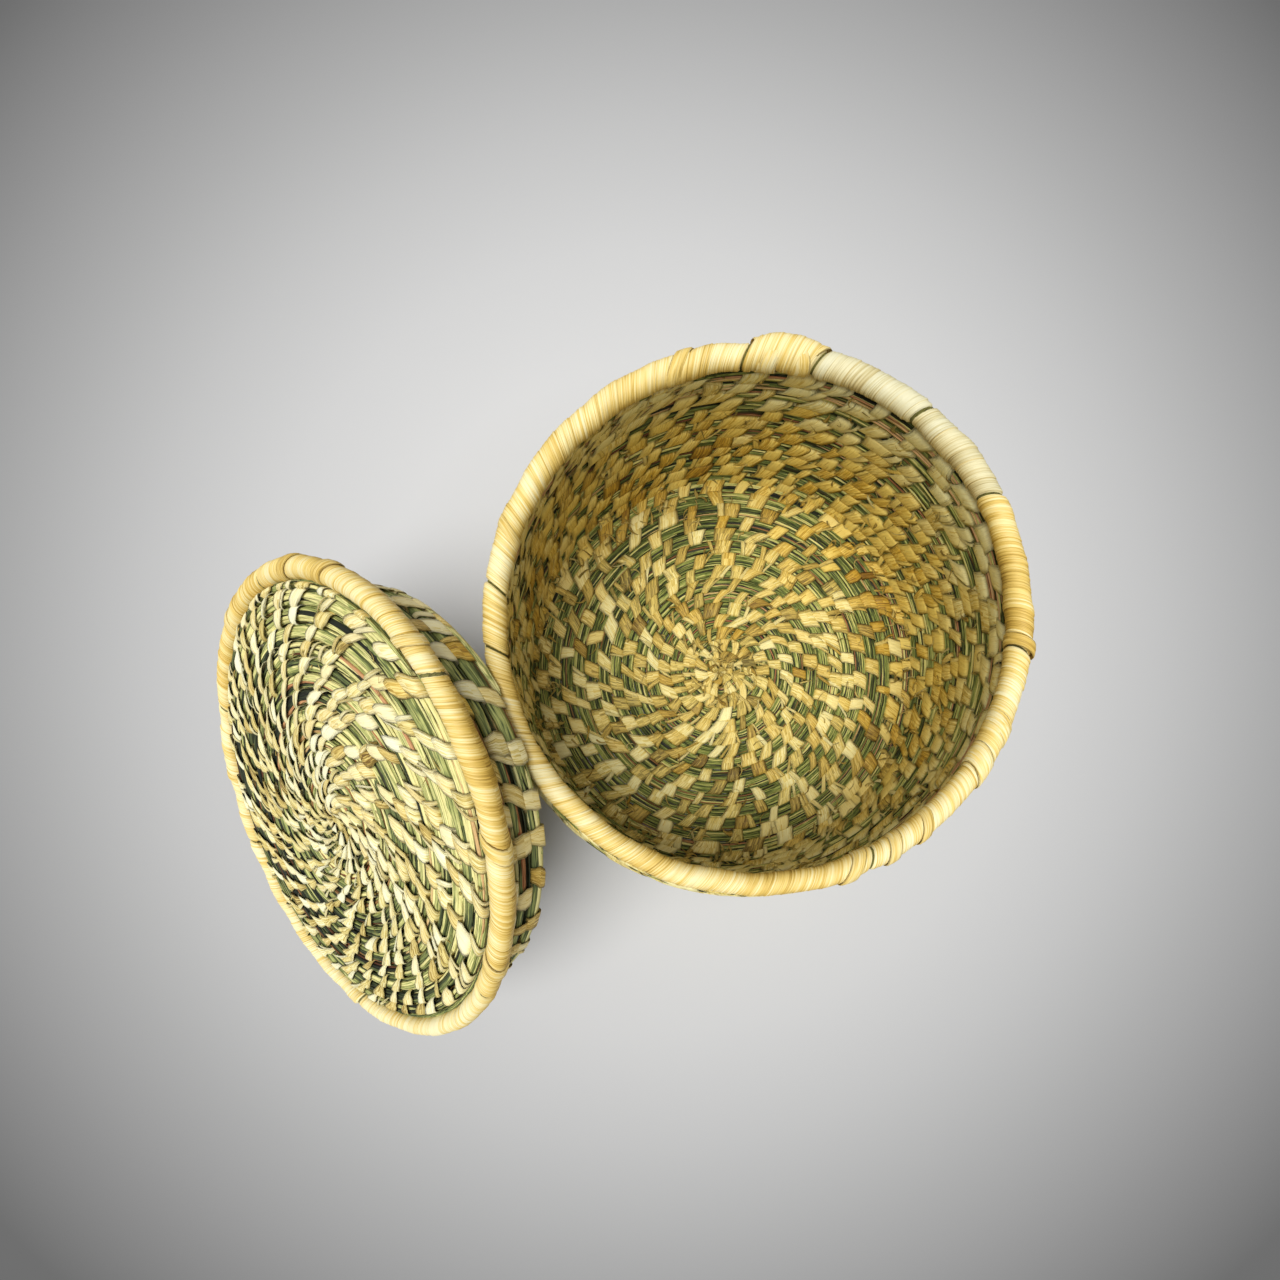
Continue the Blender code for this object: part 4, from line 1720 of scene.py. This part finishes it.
@dataclass
class Basket(Assembly):
    """The basket: one long bundle for floor and wall, its stitching and its wrapped rim.

    Attributes:
        rim_diameter: across the outside of the rim.
        belly_diameter: across the widest part of the wall.
        belly_height: the height of that part.
        height: up to the top of the rim.
        corner_radius: radius of the bundle's middle where the floor turns into the wall.
        floor_half: half the row thickness of the floor.
        wall_half: half the row thickness of the wall.
        flat_cut: the share of its half depth by which the floor's bundle is flattened.
        ground: the height that nothing of the bundle reaches below.
        floor_turns: turns of the bundle in the floor.
        turns: turns of the whole bundle.
        wrap_ends: angles at which the lengths of raffia begin, the splice last.
    """

    body: str = "basket"
    rim_diameter: float = 0.250
    belly_diameter: float = 0.2760
    belly_height: float = 0.040
    height: float = 0.1275
    corner_radius: float = 0.009
    floor_half: float = 0.00385
    wall_half: float = 0.00435
    flat_cut: float = 0.2
    ground: float = 0.0002
    floor_turns: float = 14.3125
    turns: float = 28.0625
    wrap_ends: tuple[float, ...] = (69.2, 149.2, 162.8, 272.2, 330.2, 364.7, 388.2, 413.2)

    def __post_init__(self) -> None:
        """Work out the coil from the sizes, as the frame has it."""
        self.coil = Coil(
            Profile(np.array(self._outline())),
            self.knot_radius + KNOT_GAP,
            (self.floor_half, self.wall_half),
            self.turns,
            math.radians((self.wrap_ends[-1] + self.wrap_ends[0] + 360.0) / 2.0),
            growth_turn=self.floor_turns + 1.0,
            ground=self.ground,
        )

    def _outline(self) -> list[Span]:
        """Draw the line of the bundle's middle: floor, corner and bellied wall.

        Returns:
            Pairs of radius and height.
        """
        floor_height = self.floor_half * DEPTH_RATIO * (1.0 - self.flat_cut)
        belly = self.belly_diameter / 2.0 - self.wall_half * DEPTH_RATIO
        ring = (self.rim_diameter - self.rim_thickness) / 2.0
        rise = self.height - self.rim_thickness / 2.0 - self.belly_height
        wall_radius = ((belly - ring) ** 2 + rise**2) / (2.0 * (belly - ring))
        wall_middle = belly - wall_radius
        corner_height = floor_height + self.corner_radius
        low = -math.asin((self.belly_height - corner_height) / wall_radius)
        high = math.asin(rise / wall_radius)
        corner_middle = wall_middle + wall_radius * math.cos(low) - self.corner_radius
        outline = [(0.0, floor_height)]
        for turn in np.linspace(-math.pi / 2.0, 0.0, 9):
            radius = corner_middle + self.corner_radius * math.cos(turn)
            outline.append((radius, corner_height + self.corner_radius * math.sin(turn)))
        for turn in np.linspace(low, high, 40)[1:]:
            radius = wall_middle + wall_radius * math.cos(turn)
            outline.append((radius, self.belly_height + wall_radius * math.sin(turn)))
        return outline

    def build(self) -> None:
        """Model and dress every piece of the basket."""
        self._floor()
        self._wall_stems()
        self._wall_straps()
        self._torn_straw()
        self._rim()

    def _floor(self) -> None:
        """Model the floor's stems, straps and start knot."""
        knot = Knot(self.coil, self.knot_radius, 0.0, self.floor_half * DEPTH_RATIO * (2.0 - self.flat_cut))
        self.dress(knot.build("basket_start_knot_binding"), STRAW_STRAP, Slot.STRAW, "basket_start_knot")
        core = Core(self.coil, STEM_START, self.floor_turns)
        self.dress(core.build("basket_floor_core"), PAINTED_SHADE_CORE, Slot.STEM_GREEN)
        stems = StemLayer(
            self.coil, STEM_START, self.floor_turns, 21, ALL_ROUND, (0.0004, 0.0008),
            light_share=0.13, light_lift=0.26, tone=(0.47, 0.19), seed=11,
        )
        self.dress(stems.build("basket_floor_stems"), FLOOR_STEM, Slot.STEM_GREEN, "basket_floor_coil")
        # Painted shade and light: the outer rows turn golden and darker in the corner towards +X, and less
        # golden, so lighter, towards -X, where the wall's shadow falls.
        gold = Tint(
            0.32,
            (
                Lobe(0.40, 40.0, 2.0, radii=(0.088, 0.120)),
                Lobe(0.50, -20.0, 2.5, radii=(0.080, 0.112)),
                Lobe(-0.26, 215.0, 1.0, radii=(0.050, 0.090)),
            ),
        )
        straps = Stitching(
            self.coil, STRAP_START, self.floor_turns,
            spacing=((0.008, 0.0052), (0.030, 0.0100), (0.064, 0.0165), (0.124, 0.0225)),
            width=((0.008, 0.0054), (0.030, 0.0074), (0.064, 0.0092), (0.124, 0.0102)),
            slant=0.40, middle_slant=0.1, slant_scatter=0.28, offset=0.5, follow=0.30,
            scatter=0.14, width_scatter=0.22, companion_share=0.35, tone=(0.54, 0.20),
            gold=gold, gold_scatter=0.25,
            # Painted light: the straps towards -X, in the wall's shadow, are paler.
            paler=Tint(0.0, (Lobe(0.14, 225.0, 1.0, radii=(0.060, 0.095)),)), seed=12,
        )
        self.dress(straps.build("basket_floor_straps"), STRAW_STRAP, Slot.STRAW)

    def _wall_stems(self) -> None:
        """Model the wall's stems on both sides, and the brown ones just under the rim."""
        first, last = self.floor_turns, self.turns - STEM_END
        core = Core(self.coil, first, last)
        self.dress(core.build("basket_wall_core"), PAINTED_SHADE_CORE, Slot.STEM_GREEN)
        inside = StemLayer(
            self.coil, first, last, 11, (-8.0, 188.0), (0.0005, 0.0010), light_share=0.24, seed=13
        )
        self.dress(inside.build("basket_wall_stems"), FLOOR_STEM, Slot.STEM_GREEN, "basket_wall_coil")
        brown = StemLayer(
            self.coil, self.turns - 2.6, self.turns - 0.25, 2, (58.0, 100.0), (0.0005, 0.0008),
            sink=0.00015, accent_share=1.0, light_share=0.0, tone=(0.95, 0.12), seed=17,
        )
        self.dress(brown.build("basket_wall_brown_stems"), FLOOR_STEM, Slot.STEM_BROWN)
        outside = StemLayer(
            self.coil, first, last, 9, (188.0, 352.0), (0.0006, 0.0012), light_share=0.24, seed=14
        )
        self.dress(outside.build("basket_wall_outer_stems"), FLOOR_STEM, Slot.STEM_GREEN)

    def _wall_straps(self) -> None:
        """Model the wall's straps: golden at the top of the picture and paler at its right, as painted shade
        and light.
        """
        sparse = Tint(
            0.0,
            (
                Lobe(0.75, 235.0, 2.0),
                Lobe(0.50, 15.0, 2.0),
                Lobe(-0.50, 15.0, 2.0, heights=(0.055, 0.085)),
            ),
        )
        # Painted shade: the straps turn golden and darker towards +Y and low down towards +X.
        gold = Tint(
            0.03,
            (
                Lobe(0.76, 55.0, 1.0, heights=(0.060, 0.105)),
                Lobe(0.40, -25.0, 3.0, heights=(0.030, 0.075)),
                Lobe(0.38, 108.0, 4.0),
                Lobe(0.25, -10.0, 3.0, heights=(0.055, 0.110)),
            ),
        )
        # Painted light: the straps high on the wall towards 22 degrees, under the rim, are paler, and those
        # towards 235 degrees a little paler.
        paler = Tint(
            0.05,
            (
                Lobe(0.44, 22.0, 1.2),
                Lobe(-0.32, 22.0, 1.2, heights=(0.045, 0.085)),
                Lobe(0.08, 235.0, 2.0),
            ),
        )
        straps = Stitching(
            self.coil, self.floor_turns, self.turns - STRAP_END,
            spacing=((0.10, 0.0172), (0.14, 0.0172)), width=((0.10, 0.0116), (0.14, 0.0116)),
            slant=0.5, offset=0.5, follow=0.38, scatter=0.15, width_scatter=0.24,
            companion_share=0.4, tone=(0.69, 0.21), sparse=sparse, gold=gold, paler=paler, seed=15,
        )
        self.dress(straps.build("basket_wall_straps"), STRAW_STRAP, Slot.STRAW)

    def _torn_straw(self) -> None:
        """Model the thin slivers and the broader torn ends that stand up from the straps."""
        floor, turns = self.floor_turns, self.turns
        slivers = Frays(
            self.coil,
            ((floor - 0.6, floor + 2.6, 260), (0.6, floor - 1.0, 150), (floor + 3.0, turns - 0.6, 200)),
            seed=16,
        )
        self.dress(slivers.build("basket_frayed_straw"), STRAW_STRAP, Slot.STRAW)
        torn = Frays(
            self.coil,
            ((floor - 0.8, floor + 2.5, 130), (floor + 2.5, turns - 1.0, 170), (0.1, 3.0, 40)),
            length=(0.004, 0.009),
            half_width=0.0015,
            seed=18,
        )
        self.dress(torn.build("basket_torn_straw"), STRAW_STRAP, Slot.STRAW)

    def _rim(self) -> None:
        """Model the rim's stems, its lengths of raffia, its splice and its bindings."""
        rim = Rim(
            (self.rim_diameter - self.rim_thickness) / 2.0,
            self.height - self.rim_thickness / 2.0,
            self.wrap_ends,
            thickness=self.rim_thickness,
            gold=(0.15, 0.25, 0.25, 0.10, 0.34, 0.05, 0.05, 0.20),
            pale=(0.05, 0.02, 0.05, 0.10, 0.00, 0.12, 0.16, 0.02),
            swell=(0.0004, 0.0003, 0.0002, 0.0003, 0.0002, 0.0001, 0.0001, 0.0002),
            ties=(
                (55.5, 0.0080, -0.0050, 0.0005, 0.2),
                (59.0, 0.0085, 0.0040, 0.0013, 0.25),
                (62.5, 0.0080, -0.0045, 0.0014, 0.1),
                (66.0, 0.0075, 0.0010, 0.0007, 0.3),
                (84.0, 0.0080, -0.0045, 0.0004, 0.2),
                (137.0, 0.0060, -0.0040, 0.0003, 0.3),
                (268.0, 0.0075, -0.0050, 0.0008, 0.2),
                (277.5, 0.0065, -0.0035, 0.0007, 0.3),
                (286.0, 0.0060, -0.0045, 0.0005, 0.2),
                (304.0, 0.0120, -0.0040, 0.0006, 0.0),
                (313.0, 0.0090, -0.0040, 0.0004, 0.1),
                (331.5, 0.0060, -0.0030, 0.0008, 0.6),
            ),
            greyed=(5, 6),
            spliced=True,
            seed=5,
        )
        self.dress_rim(rim, FLOOR_STEM, Slot.STEM_GREEN)


@dataclass
class Lid(Assembly):
    """The lid: a coiled disc with a wrapped rim and a collar of coils under it.

    Attributes:
        diameter: across the outside of the rim.
        collar_diameter: across the outside of the collar.
        collar_turns: turns of the collar's bundle.
        collar_start: the turn of the collar's first strap.
        collar_gap: the gap between the disc and the collar.
        disc_half: half the row thickness of the disc.
        collar_half: half the row thickness of the collar.
        disc_turns: turns of the disc's bundle.
        lean_deg: how far the lid leans, in degrees.
        wrap_ends: angles at which the lengths of raffia begin, and where the last one ends.
    """

    body: str = "lid"
    diameter: float = 0.2488
    collar_diameter: float = 0.2268
    collar_turns: float = 4.0
    collar_start: float = 0.1
    collar_gap: float = 0.0003
    disc_half: float = 0.00345
    collar_half: float = 0.00410
    disc_turns: float = 15.1875
    lean_deg: float = 36.0
    wrap_ends: tuple[float, ...] = (12.0, 75.0, 128.0, 171.0, 236.0, 301.0, 372.0)

    def __post_init__(self) -> None:
        """Find the lid's seat from the frame, and work out its coils."""
        low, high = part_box("lid_rim_bundle")
        leaning = Matrix.Rotation(-math.radians(self.lean_deg), 4, "Y")
        self.seat = Matrix.Translation((low + high) / 2.0) @ leaning
        self.disc = Coil(
            Profile(np.array([(0.0, 0.0), (self.diameter / 2.0, 0.0)])),
            self.knot_radius + KNOT_GAP,
            (self.disc_half, self.disc_half),
            self.disc_turns,
            math.radians(self.wrap_ends[0]),
            seat=self.seat,
        )
        radius = self.collar_diameter / 2.0 - self.collar_half * DEPTH_RATIO
        top = -self.disc_half * DEPTH_RATIO - self.collar_gap
        foot = top - (self.collar_turns + 1.0) * (2.0 * self.collar_half + ROW_GAP)
        line = Profile(np.array([(radius, top), (radius, foot)]))
        halves = (self.collar_half, self.collar_half)
        self.collar = Coil(line, 0.0, halves, self.collar_turns, 0.0, seat=self.seat)

    def build(self) -> None:
        """Model and dress every piece of the lid."""
        self._disc_stems()
        self._disc_straps()
        self._collar()
        self._rim()

    def _disc_stems(self) -> None:
        """Model the disc's leaf strips and start knot."""
        depth = self.disc_half * DEPTH_RATIO
        knot = Knot(self.disc, self.knot_radius, -depth, 2.0 * depth, seed=21)
        self.dress(knot.build("lid_start_knot_binding"), STRAW_STRAP, Slot.STRAW, "lid_start_knot")
        core = Core(self.disc, STEM_START, self.disc_turns - STEM_END)
        self.dress(core.build("lid_disc_core"), PAINTED_SHADE_CORE, Slot.STEM_LID)
        # Painted light and shade: the leaf strips are paler on the lid's high side and darker on its low side.
        leaves = StemLayer(
            self.disc, STEM_START, self.disc_turns - STEM_END, 12, ALL_ROUND, (0.0007, 0.0016),
            light_share=0.34, accent_share=0.12, tone=(0.34, 0.28), painted_side_light=(0.34, 10.0), seed=22,
        )
        self.dress(leaves.build("lid_disc_stems"), LID_LEAF, Slot.STEM_LID, "lid_disc_coil")

    def _disc_straps(self) -> None:
        """Model the disc's straps, narrow where they come up between the rows, and its loose straw."""
        straps = Stitching(
            self.disc, STRAP_START, self.disc_turns - STRAP_END,
            spacing=((0.008, 0.0048), (0.030, 0.0086), (0.060, 0.0120), (0.118, 0.0155)),
            width=((0.008, 0.0052), (0.030, 0.0070), (0.060, 0.0083), (0.118, 0.0094)),
            slant=0.85, slant_scatter=0.22, throat=0.52, leave=0.8, follow=0.4, scatter=0.12,
            width_scatter=0.22, companion_share=0.4, bite=0.0013, lift=0.0006, squareness=0.55,
            sparse=Tint(0.0, (Lobe(0.55, 12.0, 2.0), Lobe(0.22, 192.0, 2.0))),
            tone=(0.72, 0.22), gold=Tint(0.06, (Lobe(0.26, 12.0, 2.0),)), gold_scatter=0.16,
            # Painted shade: the straps are darker on the lid's low side.
            paler=Tint(0.04, (Lobe(-0.26, 192.0, 1.5),)), seed=23,
        )
        self.dress(straps.build("lid_disc_straps"), LID_STRAP, Slot.STRAW)
        spots = ((1.0, self.disc_turns - 0.5, 90),)
        slivers = Frays(self.disc, spots, length=(0.003, 0.008), gold=0.25, seed=24)
        self.dress(slivers.build("lid_frayed_straw"), STRAW_STRAP, Slot.STRAW)

    def _collar(self) -> None:
        """Model the collar's broad leaves and straps."""
        core = Core(self.collar, STEM_START, self.collar_turns - STEM_START)
        self.dress(core.build("lid_collar_core"), PAINTED_SHADE_CORE, Slot.STEM_LID)
        leaves = StemLayer(
            self.collar, STEM_START, self.collar_turns - STEM_START, 9, ALL_ROUND, (0.0013, 0.0026),
            half_depth=0.00042, light_share=0.16, accent_share=0.20, tone=(0.55, 0.20), seed=25,
        )
        self.dress(leaves.build("lid_collar_stems"), LID_LEAF, Slot.STEM_LID, "lid_collar_coil")
        straps = Stitching(
            self.collar, self.collar_start, self.collar_turns - STRAP_END,
            spacing=((0.09, 0.0205), (0.12, 0.0205)), width=((0.09, 0.0108), (0.12, 0.0108)),
            slant=0.25, throat=0.78, leave=0.9, scatter=0.16, companion_share=0.25,
            tone=(0.78, 0.16), gold=Tint(0.62), seed=26,
        )
        self.dress(straps.build("lid_collar_straps"), LID_STRAP, Slot.STRAW)

    def _rim(self) -> None:
        """Model the rim's stems, its lengths of raffia and its bindings."""
        rim = Rim(
            (self.diameter - self.rim_thickness) / 2.0,
            0.0,
            self.wrap_ends,
            thickness=self.rim_thickness,
            gold=(0.20, 0.35, 0.15, 0.10, 0.05, 0.30),
            pale=(0.05, 0.05, 0.15, 0.15, 0.18, 0.05),
            swell=(0.0, 0.0001, 0.0, -0.0001, 0.0, 0.0001),
            ties=(
                (20.0, 0.0060, -0.0040, 0.0002, 0.3),
                (48.0, 0.0070, -0.0035, 0.0003, 0.4),
                (62.0, 0.0065, -0.0045, 0.0003, 0.3),
                (98.0, 0.0060, -0.0040, 0.0002, 0.3),
                (150.0, 0.0055, -0.0030, 0.0002, 0.1),
                (310.0, 0.0060, -0.0040, 0.0003, 0.3),
                (338.0, 0.0070, -0.0050, 0.0003, 0.1),
            ),
            seat=self.seat,
            bed_shift=(-0.0057, 0.0),
            seed=6,
        )
        self.dress_rim(rim, LID_LEAF, Slot.STEM_LID)


@dataclass
class Studio:
    """The floor, pale in a painted pool of light, the soft light and the camera at the photograph's viewing
    angle.

    Attributes:
        picture_side: the photograph's side, in pixels.
        focal_pixels: the camera's focal length, in pixels.
        centre_pixel: where the camera's axis meets the photograph.
        camera_turn: the camera's turn, as an axis times an angle in radians.
        camera_place: where the camera stands.
        sensor_mm: the sensor's side.
        nearest: the nearest distance that the camera sees.
        key_direction: from the object towards the key light.
        key_strength: how strong the key light is.
        key_spread: how broad it looks from the object, in radians.
        sky_strength: how strong the even light from all sides is.
        floor_half_side: half the floor's side.
        floor_shift: moves the middle of the floor's painted pool of light to the coordinates' origin.
        floor_roughness: of the floor.
        floor_shine: the level of the floor's soft reflection.
        light_pool_greys: distances from the middle of the painted pool of light, and the floor's grey there.
    """

    picture_side: float = 1280.0
    focal_pixels: float = 514.9436
    centre_pixel: Span = (653.649, 779.6945)
    camera_turn: tuple[float, float, float] = (-0.0197, -0.0021, -0.4102)
    camera_place: tuple[float, float, float] = (-0.0715305, -0.0421094, 0.3579443)
    sensor_mm: float = 36.0
    nearest: float = 0.01
    key_direction: tuple[float, float, float] = (-0.26, -0.09, 1.0)
    key_strength: float = 3.34
    key_spread: float = 0.82
    sky_strength: float = 0.42
    floor_half_side: float = 6.0
    floor_shift: tuple[float, float, float] = (0.0365, -0.037, 0.0)
    floor_roughness: float = 0.9
    floor_shine: float = 0.1
    light_pool_greys: Pairs = ((0.19, 0.52), (0.27, 0.465), (0.35, 0.385), (0.43, 0.292), (0.52, 0.195), (0.61, 0.105))

    def build(self) -> None:
        """Make the camera, the floor and the lights."""
        self._camera()
        self._floor()
        self._key()
        self._sky()
        bpy.context.scene.view_settings.view_transform = "Standard"

    def _camera(self) -> None:
        """Set the camera where the photograph was taken."""
        lens = bpy.data.cameras.new("camera")
        lens.sensor_width = self.sensor_mm
        lens.lens = self.focal_pixels / self.picture_side * self.sensor_mm
        lens.shift_x = 0.5 - self.centre_pixel[0] / self.picture_side
        lens.shift_y = self.centre_pixel[1] / self.picture_side - 0.5
        lens.clip_start = self.nearest
        camera = shown("camera", lens)
        turn = Vector(self.camera_turn)
        turned = Matrix.Rotation(turn.length, 4, turn.normalized())
        camera.matrix_world = Matrix.Translation(self.camera_place) @ turned
        bpy.context.scene.camera = camera

    def _floor(self) -> None:
        """Lay a plain floor painted with a pool of light: pale near the basket and greyer away from it."""
        shell = bmesh.new()
        bmesh.ops.create_grid(shell, x_segments=2, y_segments=2, size=self.floor_half_side)
        mesh = bpy.data.meshes.new("studio_floor")
        shell.to_mesh(mesh)
        shell.free()
        material, net, shader = new_material("studio_floor")
        place = net.add("TexCoord", {}).outputs["Object"]
        centred = net.add("Mapping", {"Vector": place, "Location": self.floor_shift})
        away = net.add("VectorMath", {0: centred}, operation="LENGTH").outputs["Value"]
        # Painted light: the floor's grey darkens with distance like the edge of a pool of light.
        shades = tuple((spot, grey, grey, grey) for spot, grey in self.light_pool_greys)
        net.feed(shader, {
            "Base Color": net.ramp(away, shades),
            "Roughness": self.floor_roughness,
            "Specular IOR Level": self.floor_shine,
        })
        mesh.materials.append(material)
        shown("studio_floor", mesh)

    def _key(self) -> None:
        """Hang the broad key light above and to one side, as far away as a studio ceiling."""
        lamp = bpy.data.lights.new("key_light", "SUN")
        lamp.angle = self.key_spread
        lamp.energy = self.key_strength
        item = shown("key_light", lamp)
        item.visible_camera = False
        towards = -Vector(self.key_direction)
        item.matrix_world = towards.to_track_quat("-Z", "Y").to_matrix().to_4x4()

    def _sky(self) -> None:
        """Light the scene evenly from all sides."""
        world = bpy.data.worlds.new("sky")
        world.use_nodes = True
        feeds = {"Color": (1.0, 1.0, 1.0, 1.0), "Strength": self.sky_strength}
        Net(world.node_tree).feed(world.node_tree.nodes["Background"], feeds)
        bpy.context.scene.world = world


def main() -> None:
    """Build the basket, its lid and the studio."""
    logging.basicConfig(level=logging.INFO, format="%(name)s %(message)s")
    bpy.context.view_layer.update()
    dresser = Dresser(Groups())
    for part in (Basket(dresser), Lid(dresser)):
        part.build()
        log.info("%s is done", part.body)
    Studio().build()


if __name__ == "__main__":
    main()
